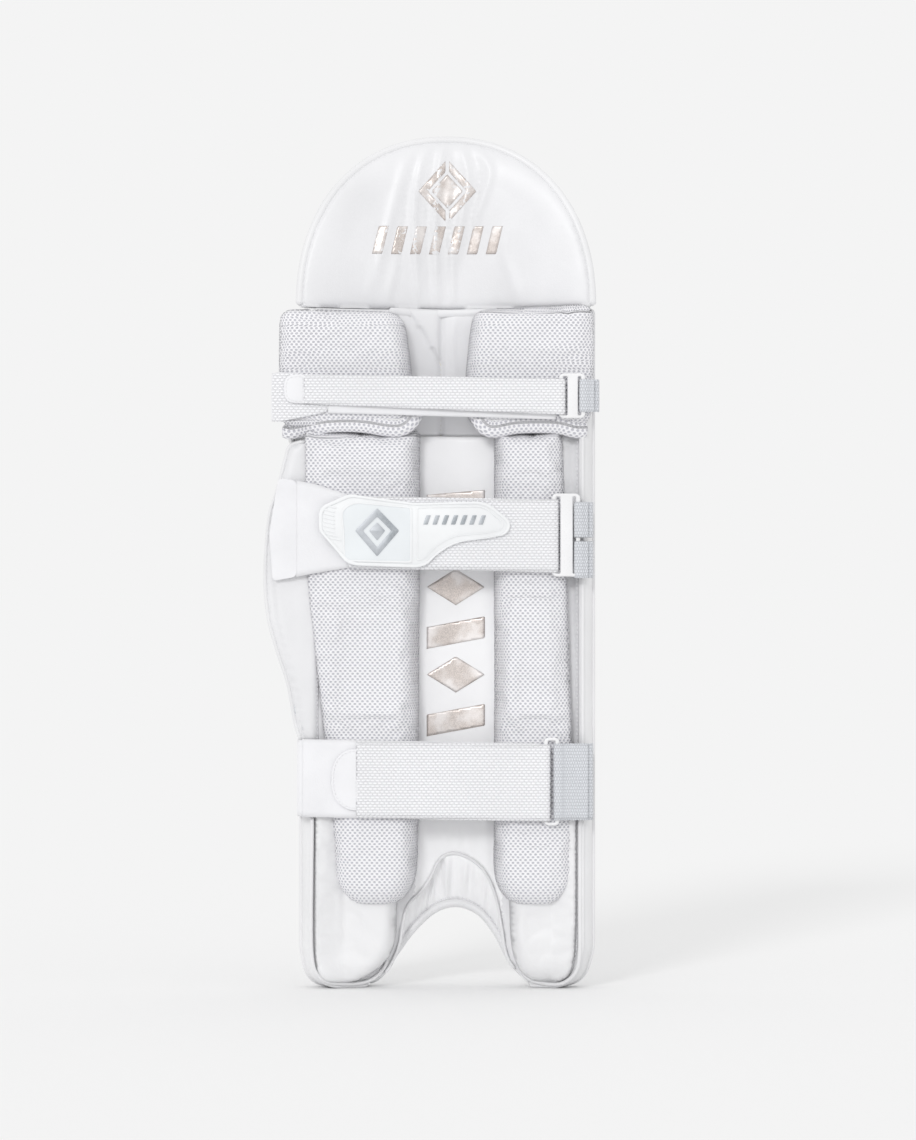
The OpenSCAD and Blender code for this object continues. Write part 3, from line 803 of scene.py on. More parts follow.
def top_hat_face():
    """Batting face of the dome, sewn into upright channels."""
    edge = hat_curve(3.0)
    channel = 30.5

    def face_height(x, z, d):
        dome = line_distance(x, z, edge)
        across = np.abs(2 * np.mod((x - HAT_MID) / channel, 1) - 1)
        roll = (1 - np.clip(across, 0, 1) ** 3.0) ** (1 / 2.2)
        rise = swell(dome, 22, 2.0)
        seam = 0.55 + 0.45 * swell(z - HAT_Z, 10, 2.0)
        return 216.0 + rise * (5.5 + 10.5 * roll * swell(dome, 30, 2.0)) * seam

    def back(x, z, d):
        return 215.6 + 3.0 * swell(line_distance(x, z, edge), 22, 2.0)

    obj = panel("top_hat_face_cover", edge, 2.6, back, face_height, upright)
    finish_piece(obj, COVER, "shell", "cover", "top_hat_face")

    def core_near(x, z, d):
        return 215.4 - 5.6 * swell(line_distance(x, z, edge) - 4, 24, 2.0)

    def core_far(x, z, d):
        return 215.6 + 2.6 * swell(line_distance(x, z, edge) - 4, 24, 2.0)

    core = panel("top_hat_foam_core", hat_curve(7.5), 7, core_near, core_far, upright)
    finish_piece(core, FOAM, "shell", "foam", "top_hat_foam")


def hat_seam():
    """Folded tape over the seam between the top hat and the knee."""
    x = np.linspace(-38, 54, 60)
    sag = 1.2 * np.cos((x - LEG_X) / 26)
    line = np.stack([x, arc_y(LINING_R - 0.6, x), HAT_Z - 2.6 - sag], 1)
    obj = cord_shape("hat_seam_tape", line, 1.6, 3.6)
    finish_piece(obj, COVER_SOFT, "shell", "cover")


def top_hat_binding():
    """Piping round the dome's edge and the stitches beside it."""
    edge = hat_curve(2.2)
    path = upright(edge[:, 0], edge[:, 1], 215.4)
    path[:, 2] = np.maximum(path[:, 2], HAT_Z + 1)
    obj = cord_shape("top_hat_piping", path, 2.7, 3.3, out=(0, 1, 0), step=2.0)
    finish_piece(obj, TRIM, "shell", "cover", "top_hat_binding")
    inner = hat_curve(7.6)
    thread = stitches("top_hat_stitches", upright(inner[4:-4, 0], inner[4:-4, 1], 211.0))
    finish_piece(thread, THREAD, "shell", "cover")


# --- edge walls, lining and arch -------------------------------------------------------

def edge_wall(name, path, nodes):
    """The wall that closes the shell's edge from the lining to the batting face."""
    path = resample(path, 4)
    t = np.gradient(path, axis=0)
    t /= np.linalg.norm(t, axis=1)[:, None]
    out = np.stack([t[:, 1], -t[:, 0]], 1)
    middle = np.array([LEG_X, 250.0])
    if ((path - middle) * out).sum() < 0:
        out = -out
    section = [(-1.5, 206.9), (0.6, 206.4), (2.2, 208.6), (2.9, 212.5), (2.6, 217.5), (1.9, 222.0),
               (0.4, 226.6), (-1.8, 227.0), (-2.6, 221.0), (-2.8, 214.0), (-2.6, 209.0)]
    rings = np.zeros((len(path), len(section), 3))
    for k, (away, radius) in enumerate(section):
        ripple = 0.35 * wander(np.c_[path, np.full(len(path), radius)], 16, 3.0) * (away > 0)
        place = path + out * (away + ripple)[:, None]
        rings[:, k] = on_shell(place[:, 0], np.maximum(place[:, 1], 0.3), radius)
    verts, faces = skin(rings)
    obj = add(name, verts, faces)
    finish_piece(obj, COVER, "shell", "cover", *nodes)
    return path, out


def edge_walls():
    """Both edge walls with their pipings and stitches."""
    wall_top = HAT_Z - 1
    left = np.vstack([[(SHELL_LEFT, wall_top)], curve(LEFT_LOBE), [(-60, 3)]])
    right = np.vstack([[(84, 3)], curve(RIGHT_LOBE), [(SHELL_RIGHT, wall_top)]])
    for name, path, node in (("left", left, "side_wall_left"), ("right", right, "side_wall_right")):
        line, out = edge_wall(f"edge_wall_{name}", path, [node])
        rear = on_shell(line[:, 0] + out[:, 0] * 1.4, np.maximum(line[:, 1] + out[:, 1] * 1.4, 1.7), 207.6)
        obj = cord_shape(f"edge_piping_{name}_rear", rear, 1.7)
        finish_piece(obj, TRIM, "shell", "cover", f"edge_piping_{name}")
        front = on_shell(line[:, 0] + out[:, 0] * 1.2, np.maximum(line[:, 1] + out[:, 1] * 1.2, 1.9), 224.6)
        obj = cord_shape(f"edge_piping_{name}_front", front, 1.9, out=(0, 1, 0))
        finish_piece(obj, TRIM, "shell", "cover")
        inset = on_shell(line[:, 0] - out[:, 0] * 2.4, line[:, 1] - out[:, 1] * 2.4, 205.6)
        obj = stitches(f"edge_stitches_{name}", inset[inset[:, 2] < 450])
        finish_piece(obj, THREAD, "shell", "cover")


LINING_TOP = CUP_Z - 4
CHANNEL_X, CHANNEL_HALF, CHANNEL_RISE = 20, 36, 5.0
VALLEY_X, VALLEY_DEPTH = 122.5, 7.0


def inner_lining():
    """Smooth lining from the lobes to the knee cups, with its edges drawn in and its channel taut."""
    outline = np.vstack([[(SHELL_LEFT + 1, LINING_TOP)], curve(LEFT_LOBE) + (1, 1), curve(ARCH_INNER),
                         curve(RIGHT_LOBE) + (-1, 1), [(SHELL_RIGHT - 1, LINING_TOP)]])
    folds = [
        ([(-26, 60), (-16, 100), (-14, 130), (-14, 170)], 3, 0.8),
        ([(48, 80), (47, 110), (46, 150), (46, 190)], 3, 0.8),
        ([(6, 104), (8, 112), (9, 122), (9, 134)], 2.0, 0.9),
        ([(20, 110), (20, 118), (21, 126), (21, 136)], 2.0, 1.0),
        ([(33, 103), (32, 112), (31, 122), (31, 130)], 2.0, 0.8),
        ([(-104, 30), (-101, 60), (-103, 95), (-104, 130)], 2.2, 1.3),
        ([(-99, 20), (-97, 60), (-97, 90), (-98, 120)], 2.0, 1.0),
        ([(121, 30), (119, 70), (120, 100), (121, 130)], 2.2, 1.0),
        ([(124, 210), (121, 250), (122, 300), (124, 340)], 2.4, 1.1),
        ([(122, 160), (120, 200), (120, 240), (121, 280)], 2.4, 0.8),
        ([(118, 200), (115, 260), (116, 330), (117, 400)], 2.0, 1.2),
        ([(127, 300), (124, 360), (123, 420), (122, 446)], 2.2, 1.2),
        ([(-103, 210), (-100, 260), (-103, 330), (-105, 430)], 2.0, 1.2),
    ]

    def leg_side(x, z, d):
        middle = (CHANNEL_RISE * swell(CHANNEL_HALF + 5 - np.abs(x - CHANNEL_X), 22, 2.0)
                  * swell(z - 112, 60, 2.0))
        puff = 1.5 * swell(d, 12) + middle + 1.7 * sum(h * ridge(x, z, line, w) for line, w, h in folds)
        soft = soft_noise(x, z, 22, 40, 5.0)
        return 207.6 - puff + valley(x, z) - 0.45 * soft * swell(d, 12)

    def valley(x, z):
        return VALLEY_DEPTH * np.exp(-(((x - VALLEY_X) / 5.5) ** 4)) * swell(z - 150, 40, 2.0)

    def far_side(x, z, d):
        return 208.3 + valley(x, z)

    obj = panel("inner_lining_cloth", outline, 3.2, leg_side, far_side, on_shell)
    finish_piece(obj, LINING_PAINTED_LIGHT, "shell", "cover", "inner_lining")
    obj.data.materials.append(COVER_SOFT)
    # Faces in the centre channel take the lighter copy of the lining cloth, painted light against the
    # channel's depth; the rest take the lining cloth.
    for face in obj.data.polygons:
        face.material_index = int(abs(face.center.x / MM - CHANNEL_X) > CHANNEL_HALF)
    return obj


def knee_lining():
    """Lining between the knee cups: two halves with a centre seam and a folded dart."""
    outline = [(SHELL_LEFT + 1, LINING_TOP + 0.4), (SHELL_LEFT + 1, HAT_Z - 0.6),
               (SHELL_RIGHT - 1, HAT_Z - 0.6), (SHELL_RIGHT - 1, LINING_TOP + 0.4)]
    seam_x = 5.8

    def leg_side(x, z, d):
        sideways = LEG_X + (x - LEG_X) * LINING_R / FRONT_R
        groove = 1.9 * np.exp(-(((sideways - seam_x) / 1.6) ** 2))
        halves = 2.6 * swell(np.abs(sideways - seam_x), 16) * swell(HAT_Z - z, 14)
        flap_edge = line_distance(sideways, z, [(-21.5, 556), (-10, 541), (0, 524), (5.0, 514)])
        over = (z - 514) * 27 / 42 + (sideways - 5.8) > 0
        flap = np.where(over & (sideways < seam_x), 1.7 * swell(flap_edge, 3), 0)
        tuck = 1.6 * np.exp(-((flap_edge / 1.6) ** 2)) * ~over
        folds = 1.0 * ridge(sideways, z, [(18, 552), (15, 530), (17, 508), (14, 490)], 2.5)
        return 207.6 - halves - flap - folds + groove + tuck

    def far_side(x, z, d):
        return 209.6 + 0 * x

    obj = panel("knee_lining_cloth", outline, 2.2, leg_side, far_side, on_shell)
    finish_piece(obj, COVER_SOFT, "shell", "cover", "knee_lining")


def instep():
    """Gathered lining that closes the arch, and the bound edge in front of it."""
    inner = resample(curve(ARCH_INNER, 12), 2.0)
    count = len(inner)
    along = np.linspace(0, 1, count)
    outer_line = curve(ARCH_OUTER, 12)
    length = np.r_[0, np.cumsum(np.linalg.norm(np.diff(outer_line, axis=0), axis=1))]
    outer = np.stack([np.interp(along * length[-1], length, outer_line[:, k]) for k in (0, 1)], 1)
    steps = 14
    pleat = 1.7 * np.sin(along * 2 * np.pi * 17) + 1.2 * np.sin(along * 2 * np.pi * 29 + 1.3)
    pleat = pleat + 1.2 * np.maximum(np.sin(along * 2 * np.pi * 11), 0) ** 3
    strength = np.exp(-(((along - 0.5) / 0.2) ** 2))
    lip = np.exp(-(((inner[:, 0] + 10) / 17) ** 4)) * (inner[:, 1] > 55)
    near, far = [], []
    for k in range(steps + 1):
        t = k / steps
        place = inner * (1 - t) + outer * t
        radius = 206.6 + (225.6 - 206.6) * (0.25 * t + 0.75 * t**1.6)
        radius = radius + 9.0 * lip * min(t / 0.08, 1) * (1 - t)
        fold = pleat * strength * math.sin(math.pi * min(t * 1.15, 1)) ** 0.7
        near.append(on_shell(place[:, 0], np.maximum(place[:, 1] - 0.2 * fold, 1.2), radius - fold))
        far.append(on_shell(place[:, 0], np.maximum(place[:, 1] + 1.2, 2.4), radius + 1.6))
    rings = np.stack(near + far[::-1], 1)
    verts, faces = skin(rings)
    obj = add("instep_lining_cloth", verts, faces)
    # The arch lining also takes the lighter copy of the lining cloth, painted light.
    finish_piece(obj, LINING_PAINTED_LIGHT, "shell", "cover", "instep_lining")

    path = curve(ARCH_OUTER, 8)[3:-3]
    centre = on_shell(path[:, 0], path[:, 1] - 0.5, 224.6)
    obj = cord_shape("arch_edge_binding", centre, 4.2, 3.6, sides=14)
    finish_piece(obj, TRIM, "shell", "cover", "arch_binding")
    for row, (rise, radius) in enumerate(((4.6, 220.8), (-1.0, 220.7))):
        rim = on_shell(path[:, 0], np.maximum(path[:, 1] + rise, 1.5), radius)
        obj = stitches(f"arch_stitches_{row + 1}", rim)
        finish_piece(obj, THREAD, "shell", "cover")
    seam = on_shell(inner[8:-8, 0], inner[8:-8, 1] + 0.8, 206.2)
    obj = cord_shape("arch_seam_piping", seam, 1.4)
    finish_piece(obj, TRIM, "shell", "cover")


def shell_layers():
    """The backing board and the foam between the lining and the batting face, drawn in from the edges."""
    outline = np.vstack([[(SHELL_LEFT + 4, HAT_Z - 3)], curve(LEFT_LOBE) + (4, 4), curve(ARCH_INNER) + (0, 4),
                         curve(RIGHT_LOBE)[:9] + (-6, 4),
                         [(114, 40), (114, CUP_Z), (SHELL_RIGHT - 4, CUP_Z + 12)],
                         [(SHELL_RIGHT - 4, HAT_Z - 3)]])
    for name, node, near, far, material, slot in (
            ("backing_board_sheet", "backing_board", 208.8, 213.4, BOARD, "board"),
            ("shell_foam_layer", "shell_foam", 214.0, 224.8, FOAM, "foam")):
        obj = panel(name, outline, 9, lambda x, z, d: near + 0 * x, lambda x, z, d: far + 0 * x, on_shell)
        finish_piece(obj, material, "shell", slot, node)


# --- leg-side padding --------------------------------------------------------------------

STRAP_REACH, STRAP_FADE = 7, 16
LEAST_CUSHION, LEAST_CORE = 7.0, 2.0


def pressed(z):
    """1 where a strap holds the padding down, 0 well away from the straps."""
    total = 0 * np.asarray(z, float)
    for strap in STRAPS.values():
        low, high = strap["z"]
        beyond = np.maximum(np.maximum(low - STRAP_REACH - z, z - high - STRAP_REACH), 0)
        total = np.maximum(total, 1 - np.clip(beyond / STRAP_FADE, 0, 1) ** 0.8)
    return total


def cushion(name, outline, spacing, edge, crown, material, nodes, base=None, top=PAD_Y,
            power=2.4, growth=0.03, cap=4.0):
    """A leg-side cushion that stands on the lining and crowns towards the leg."""
    if base is None:
        def base(x):
            return arc_y(LINING_R - 2.0, x)

    def leg_side(x, z, d):
        s = swell(d, edge, power)
        peak = top - crown * swell(d, edge * 1.9) * (1 - pressed(z)) + 0.8 * (1 - swell(d, edge * 2))
        return base(x) - s * np.maximum(base(x) - peak, LEAST_CUSHION)

    obj = panel(name, outline, spacing, leg_side, lambda x, z, d: base(x) + 0 * z)
    finish_piece(obj, material, "shell", "air_mesh" if material is MESH else "cover", *nodes)
    points = points_of(obj)
    backed = points[:, 1] > base(points[:, 0]) - 0.6
    held = np.where(backed, 1.0, 0.93 * pressed(points[:, 2]))
    inflate(obj, held, growth=growth, cap=cap)
    return obj


def core(name, outline, edge, node, base=None, top=PAD_Y):
    """The foam inside a cushion, a little smaller all round."""
    if base is None:
        def base(x):
            return arc_y(LINING_R - 2.4, x)
    obj = panel(name, outline, 8,
                lambda x, z, d: base(x) - swell(d, edge, 2.4) * np.maximum(base(x) - top - 4, LEAST_CORE),
                lambda x, z, d: base(x) + 0 * z)
    finish_piece(obj, FOAM, "shell", "foam", node)


def shrunk(outline, inset):
    """An outline drawn in by inset towards its own middle."""
    outline = np.asarray(outline, float)
    lo, hi = outline.min(0), outline.max(0)
    middle, half = (lo + hi) / 2, (hi - lo) / 2
    return middle + (outline - middle) * (1 - inset / half)


def bolsters():
    """The two vertical mesh bolsters and their foam."""
    lo, hi = box("bolster_left")
    top = CUP_Z + 0.5
    left = rounded([(lo[0], top, 4), (lo[0] + 1, 340, 40), (-92, 230, 60), (-83, 135, 60), (-80, lo[2], 44),
                    (-14, lo[2], 38), (-12, 200, 40), (hi[0], top, 4)], 30, 8)
    lo, hi = box("bolster_right")
    right = rounded([(lo[0], top, 4), (lo[0], 200, 40), (lo[0], lo[2], 36), (hi[0], lo[2], 36),
                     (hi[0], 200, 50), (hi[0] - 4, 340, 40), (hi[0] - 8, top, 4)], 30, 8)
    for side, outline in (("left", left), ("right", right)):
        cushion(f"bolster_cover_{side}", outline, 3.4, 21, 3.6, MESH, [f"bolster_{side}"], power=2.5)
        core(f"bolster_foam_{side}", shrunk(outline, 5), 20, "bolster_foams")


def cup_base(x):
    """The lining under a knee cup, and past the shell's edges the depth to which the cup wraps round."""
    return np.minimum(np.maximum(arc_y(LINING_R - 2.6, x), -22.0), 4.0)


def knee_cups():
    """The two mesh knee cups and their foam."""
    low = CUP_Z - 1
    left_lo, left_hi = box("knee_cup_left")
    right_lo, right_hi = box("knee_cup_right")
    top = left_hi[2]
    left = rounded([(left_lo[0] - 1, low + 4, 14), (left_lo[0] - 2, 520, 40), (left_lo[0] - 1, top, 12),
                    (left_hi[0] - 8, top - 1, 16), (left_hi[0], 500, 30), (left_hi[0] + 1, low, 24)], 12)
    right = rounded([(right_lo[0], low, 24), (right_lo[0] - 2, 500, 30), (right_lo[0] + 5, top + 1, 14),
                     (right_hi[0], top + 4, 10), (right_hi[0] + 2, 520, 40), (right_hi[0] - 2, low + 4, 14)],
                    12)
    for side, outline in (("left", left), ("right", right)):
        cushion(f"knee_cup_cover_{side}", outline, 2.6, 15, 4.0, MESH, [f"knee_cup_{side}"], base=cup_base,
                power=2.3, growth=0.02, cap=3.5)
        core(f"knee_cup_foam_{side}", shrunk(outline, 6), 16, "knee_cup_foams",
             lambda x: cup_base(x) - 1.2)


def cup_rims():
    """Rolled mesh edge under each knee cup."""
    for side, line in (("left", [(-124, 458), (-117, 456), (-104, 458.5), (-84, 461.5), (-60, 461.5),
                                 (-40, 458.5), (-28, 458), (-20, 463), (-16, 471), (-15, 482)]),
                       ("right", [(35, 482), (36, 471), (40, 462), (48, 457), (69, 460.5), (100, 460.5),
                                  (115, 457), (126, 457)])):
        flat = resample(curve(line), 3)
        sunk = np.clip((np.abs(flat[:, 0] - LEG_X) - 98) / 20, 0, 1) ** 1.5 * 8
        tucked = np.clip((flat[:, 1] - 464) / 8, 0, 1) * 5
        path = np.stack([flat[:, 0], PAD_Y + 4.6 + sunk + tucked, flat[:, 1]], 1)
        path[:, 2] += 1.6
        obj = cord_shape(f"knee_cup_rim_roll_{side}", path, 4.0, 7.8, sides=20)
        finish_piece(obj, MESH, "shell", "air_mesh", f"knee_cup_rim_{side}")
        seam = path + (0, -2.4, 6.4)
        obj = cord_shape(f"knee_cup_seam_{side}", seam[4:-8], 0.7)
        finish_piece(obj, TRIM, "shell", "cover")


def lobe_pads():
    """Smooth padded lobes beside the shoe, with a piped and stitched seam round their feet."""
    low = 4.0
    left = rounded([(-97, 150, 4), (-98, 30, 30), (-94, low, 22), (-62, low, 26), (-40, 19, 14),
                    (-31, 36, 14), (-30, 78, 5), (-70, 96, 12), (-78, 150, 4)], 12)
    right = rounded([(61.5, 82, 5), (63, 30, 20), (74, low + 1, 20), (110, low, 22), (116.5, 30, 30),
                     (116.5, 150, 4), (104, 150, 3), (98, 96, 12)], 12)
    feet = (("left", left,
             [(-99.5, 142), (-100, 100), (-100.5, 60), (-100, 30), (-97, 15), (-89, 6.5), (-78, 4),
                            (-62, 3.5), (-50, 7), (-41, 16), (-38, 24)]),
            ("right", right, [(70, 24), (72, 15), (78, 7), (88, 4), (102, 3.5), (111, 8), (117.5, 17),
                              (119.5, 34), (119.5, 60), (119.5, 100), (119.5, 142)]))
    for side, outline, foot in feet:
        cushion(f"lobe_pad_cover_{side}", outline, 2.8, 13, 2.0, COVER, [f"lobe_pad_{side}"],
                top=PAD_Y + 13.5, power=2.2, growth=0.03, cap=2.5)
        core(f"lobe_foam_{side}", shrunk(outline, 5), 12, "lobe_foams", top=PAD_Y + 12.5)
        line = resample(curve(foot), 2.5)
        depth = arc_y(LINING_R - 1.6, line[:, 0])
        path = np.stack([line[:, 0], depth, np.maximum(line[:, 1], 1.8)], 1)
        obj = cord_shape(f"lobe_piping_{side}", path, 1.7)
        finish_piece(obj, TRIM, "shell", "cover")
        inner = shrunk(line, 3.6)
        depth = arc_y(LINING_R - 0.6, inner[:, 0])
        obj = stitches(f"lobe_stitches_{side}", np.stack([inner[:, 0], depth, inner[:, 1]], 1))
        finish_piece(obj, THREAD, "shell", "cover")


# --- calf wing -----------------------------------------------------------------------------

WING_EDGE = [(-108, 203), (-113, 218), (-119, 250), (-128, 278), (-135, 305), (-137.5, 338), (-134.5, 384),
             (-129, 404), (-124.5, 420), (-121, 434), (-117, 445), (-104, 448)]


def calf_wing():
    """The padded wing: one cover that bends at its root, its foam, and its piped edge."""
    edge = curve(WING_EDGE, 6)
    outline = np.vstack([edge, [(-88, 448), (-88, 203)]])
    top_x, top_y = [-138, -125, -111, -98, -88], [-30.6, -28.4, -27.4, -26.6, -13.0]
    low_x, low_y = [-138, -125, -113, -108.5, -98, -88], [-21.5, -16.5, -14.5, -24.4, -22.0, -11.0]

    def seam(x, z):
        return np.exp(-((line_distance(x, z, [(-130, 334), (-127, 302), (-121, 277), (-111, 244),
                                              (-105, 207)])
                         / 1.3) ** 2))

    def free(x, z):
        return swell(line_distance(x, z, edge), 9, 2.0)

    def leg_side(x, z, d):
        middle = (np.interp(x, top_x, top_y) + np.interp(x, low_x, low_y)) / 2
        soft = soft_noise(x, z, 12, 30, 8.0)
        full = np.interp(x, top_x, top_y) - 0.5 * soft + 1.5 * seam(x, z)
        return middle + free(x, z) * (full - middle)

    def far_side(x, z, d):
        middle = (np.interp(x, top_x, top_y) + np.interp(x, low_x, low_y)) / 2
        return middle + free(x, z) * (np.interp(x, low_x, low_y) - middle)

    obj = panel("calf_wing_shell", outline, 2.6, leg_side, far_side)
    finish_piece(obj, COVER_SOFT, None, "cover", "calf_wing_cover")
    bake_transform(obj)

    inner = np.vstack([edge[2:-8] * (1, 1) + (4.5, 0), [(-114, 412), (-114, 226)]])
    foam = panel("calf_wing_foam_core", inner, 5, lambda x, z, d: np.interp(x, top_x, top_y) + 3.4 - 0 * z,
                 lambda x, z, d: np.interp(x, low_x, low_y) - 2.4 + 0 * z)
    finish_piece(foam, FOAM, "calf_wing", "foam", "calf_wing_foam")

    line = resample(edge, 2.5)
    middle = (np.interp(line[:, 0], top_x, top_y) + np.interp(line[:, 0], low_x, low_y)) / 2
    path = np.stack([line[:, 0] - 0.2, middle, line[:, 1]], 1)
    piping = cord_shape("calf_wing_piping", path, 1.7)
    finish_piece(piping, TRIM, None, "cover")
    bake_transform(piping)


# --- straps ------------------------------------------------------------------------------------

def ribbon(name, path, low, high, thickness, material, slot, body, nodes, step=2.5, ripple=0.12):
    """A strap along a path in X-Y, from the height low(x) to high(x), with soft selvedges."""
    path = resample(path, step)
    t = np.gradient(path, axis=0)
    t /= np.linalg.norm(t, axis=1)[:, None]
    normal = np.stack([t[:, 1], -t[:, 0]], 1)
    along = np.r_[0, np.cumsum(np.linalg.norm(np.diff(path, axis=0), axis=1))]
    columns = 15
    across = np.linspace(-1, 1, columns)
    loop = [(c, 1.0) for c in across] + [(c, -1.0) for c in across[::-1]]
    rings = np.zeros((len(path), len(loop), 3))
    rest = np.zeros((len(path), len(loop), 3))
    x = path[:, 0]
    z0, z1 = low(x) + 0 * x, high(x) + 0 * x
    for k, (c, side) in enumerate(loop):
        z = (z0 + z1) / 2 + c * (z1 - z0) / 2
        thin = 0.55 if abs(c) > 0.999 else 1.0
        wave = ripple * np.array([noise.noise(Vector((a / 14, c * 1.2, 4.0))) for a in along])
        off = side * thickness / 2 * thin + wave
        rings[:, k, 0] = path[:, 0] + normal[:, 0] * off
        rings[:, k, 1] = path[:, 1] + normal[:, 1] * off
        rings[:, k, 2] = z
        rest[:, k] = np.stack([along, z, 0 * z], 1)
    verts, faces = skin(rings)
    obj = add(name, verts, faces, rest.reshape(-1, 3))
    finish_piece(obj, material, body, slot, *nodes)
    return obj


def level(value):
    """A height that is the same all along."""
    return lambda x: np.full(np.shape(x), float(value))


def lean(obj, strap):
    """Turns a flap's piece about the free bar, so that its far end lies on the base ply."""
    bar = Vector((STRAPS[strap]["bar"] * MM, BAR_Y * MM, 0))
    turn = Matrix.Rotation(math.radians(-STRAPS[strap]["slope"]), 4, "Z")
    obj.data.transform(Matrix.Translation(bar) @ turn @ Matrix.Translation(-bar))
    obj.data.update()


def fold_path(bar_x, far_x, ply_y):
    """Path of a return ply: from its far end to the free bar and round it."""
    r = FOLD_R + PLY_T / 2
    angles = np.radians(np.linspace(-90, 78, 16))
    return np.vstack([[(far_x, ply_y)],
                      np.stack([bar_x + r * np.cos(angles), BAR_Y + r * np.sin(angles)], 1)])


def return_ply(strap, far_x, low, high, node):
    """The strap from its far end to the free bar, with a row of stitches along each edge."""
    s = STRAPS[strap]
    path = fold_path(s["bar"], far_x, RETURN_Y + PLY_T / 2)
    obj = ribbon(f"{strap}_strap_return_ply", path, low, high, PLY_T, WOVEN, "webbing", None, [])
    lean(obj, strap)
    finish_piece(obj, WOVEN, f"{strap}_flap", "webbing", node)
    for edge, inset in (("low", 2.2), ("high", -2.2)):
        height = low if edge == "low" else high
        x = np.linspace(far_x + 2, s["bar"] - 3, 60)
        line = np.stack([x, np.full(len(x), RETURN_Y - 0.12), height(x) + inset], 1)
        thread = stitches(f"{strap}_strap_return_stitches_{edge}", line, 4.0, 2.6, 0.28)
        lean(thread, strap)
        finish_piece(thread, THREAD, f"{strap}_flap", "webbing")


def base_ply(strap, start_x, low, high, node):
    """The strap under the return ply, running straight to just short of its ring."""
    s = STRAPS[strap]
    end = s["bar"] - FOLD_R - PLY_T - 0.7
    path = [(start_x, PLY_Y + PLY_T / 2), (end, PLY_Y + PLY_T / 2)]
    obj = ribbon(f"{strap}_strap_base_ply", path, low, high, PLY_T, BRUSHED, "webbing", None, [node],
                 ripple=0.06)
    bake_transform(obj)


def ring(strap, middle, node):
    """Moulded ring: a free bar for the strap, a bar in the webbing and often a flat one between."""
    s = STRAPS[strap]
    low, high = s["z"][0] - 0.8, s["z"][1] + 0.8
    x0, x1 = s["bar"] - 2.1, s["loop"] + 2.1
    loops = [rounded([(x0, low - 2.6), (x1, low - 2.6), (x1, high + 2.6), (x0, high + 2.6)], 5.0, 8)]
    edges = [s["bar"] + 1.5, *middle, s["loop"] - 1.5]
    for a, b in zip(edges[::2], edges[1::2]):
        loops.append(rounded([(a, low), (b, low), (b, high), (a, high)], 0.8, 3))
    obj = plate(f"{strap}_ring_moulding", loops, BAR_Y - 1.6, 3.2, 1.1)
    finish_piece(obj, PLASTIC, f"{strap}_ring", "ring_plastic", node)


def webbing_loop(name, strap, low, high, edge_x, material, node):
    """Webbing that leaves the pad's edge, turns round the ring's loop bar and is sewn to itself."""
    loop_x = STRAPS[strap]["loop"]
    r = 2.35
    pad_side = BAR_Y + r
    angles = np.radians(np.linspace(90, 270, 14))
    bend = np.stack([loop_x + r * np.cos(angles), BAR_Y + r * np.sin(angles)], 1)
    path = np.vstack([[(edge_x - 0.8, BAR_Y + 9.5), (edge_x - 1.0, pad_side + 2.2),
                       (edge_x - 2.2, pad_side + 0.4),
                       (edge_x - 4.5, pad_side)], bend, [(loop_x + 3.0, BAR_Y - r + 0.2),
                       (loop_x + 5.5, BAR_Y - 0.4), (edge_x - 4.5, BAR_Y + 0.25)]])
    ribbon(name, path, level(low), level(high), 1.3, material, "webbing", "shell", [node], 1.2, 0.1)
    x = loop_x + 4.6
    line = np.array([(x, BAR_Y - 0.95, low + 2), (x, BAR_Y - 0.95, high - 2)])
    thread = stitches(name + "_stitches", line, 2.8, 1.9, 0.3)
    finish_piece(thread, THREAD, "shell", "webbing")


def patch(name, outline, y, thickness, material, slot, bevel=0.6):
    """A flat patch or tab with its material. The slot argument is not used."""
    return finish_piece(plate(name, [outline], y, thickness, bevel), material, None, slot)


def outline_stitches(name, outline, inset, y, body, strap=None):
    """Stitches just inside a closed outline at one depth."""
    ring = shrunk(outline, inset)
    ring = np.vstack([ring, ring[:1]])
    obj = stitches(name, np.stack([ring[:, 0], np.full(len(ring), y), ring[:, 1]], 1), 3.4, 2.2, 0.28)
    if strap:
        lean(obj, strap)
    finish_piece(obj, THREAD, body, "webbing")


def top_strap():
    """Narrow strap below the knee cups: anchor, plies, tab, ring and loop."""
    anchor = rounded([(-131, 463), (-132.5, 484), (-131, 505), (-106, 503), (-86, 500), (-86, 472),
                      (-106, 468)], 5)
    obj = patch("top_strap_anchor_patch", anchor, PLY_Y, PLY_T, WOVEN, "webbing")
    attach(obj, "shell")
    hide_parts("top_strap_anchor")
    ribbon("top_strap_anchor_wrap", [(-129.5, PLY_Y + 1), (-131.4, PLY_Y + 2.2), (-132.0, PLY_Y + 5),
                                            (-130.5, PLY_Y + 11), (-124, PLY_Y + 16)],
                  level(464.5), level(503.5), 1.6, BRUSHED, "webbing", "shell", [], 1.5)
    base_ply("top", -86.5, lambda x: 471.0 - (x + 86) * 0.028, lambda x: 499.0 - (x + 86) * 0.01,
             "top_strap_base")
    return_ply("top", -106, lambda x: 478.5 - (x + 106) * 0.042, lambda x: 502.6 - (x + 106) * 0.018,
               "top_strap_return")
    tab = rounded([(-105, 502.2), (-105, 478.8), (-122, 479.5, 9), (-122, 502.2, 9)], 1.0)
    obj = patch("top_hook_tab_tape", tab, RETURN_Y, PLY_T, HOOK, "hook_tape")
    lean(obj, "top")
    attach(obj, "top_flap")
    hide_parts("top_hook_tab")
    outline_stitches("top_hook_tab_stitches", tab, 1.6, RETURN_Y - 0.1, "top_flap", "top")
    ring("top", (109, 117.6), "top_strap_ring")
    webbing_loop("top_webbing_loop", "top", 472, 498.5, 135.5, ELASTIC, "top_strap_loop")


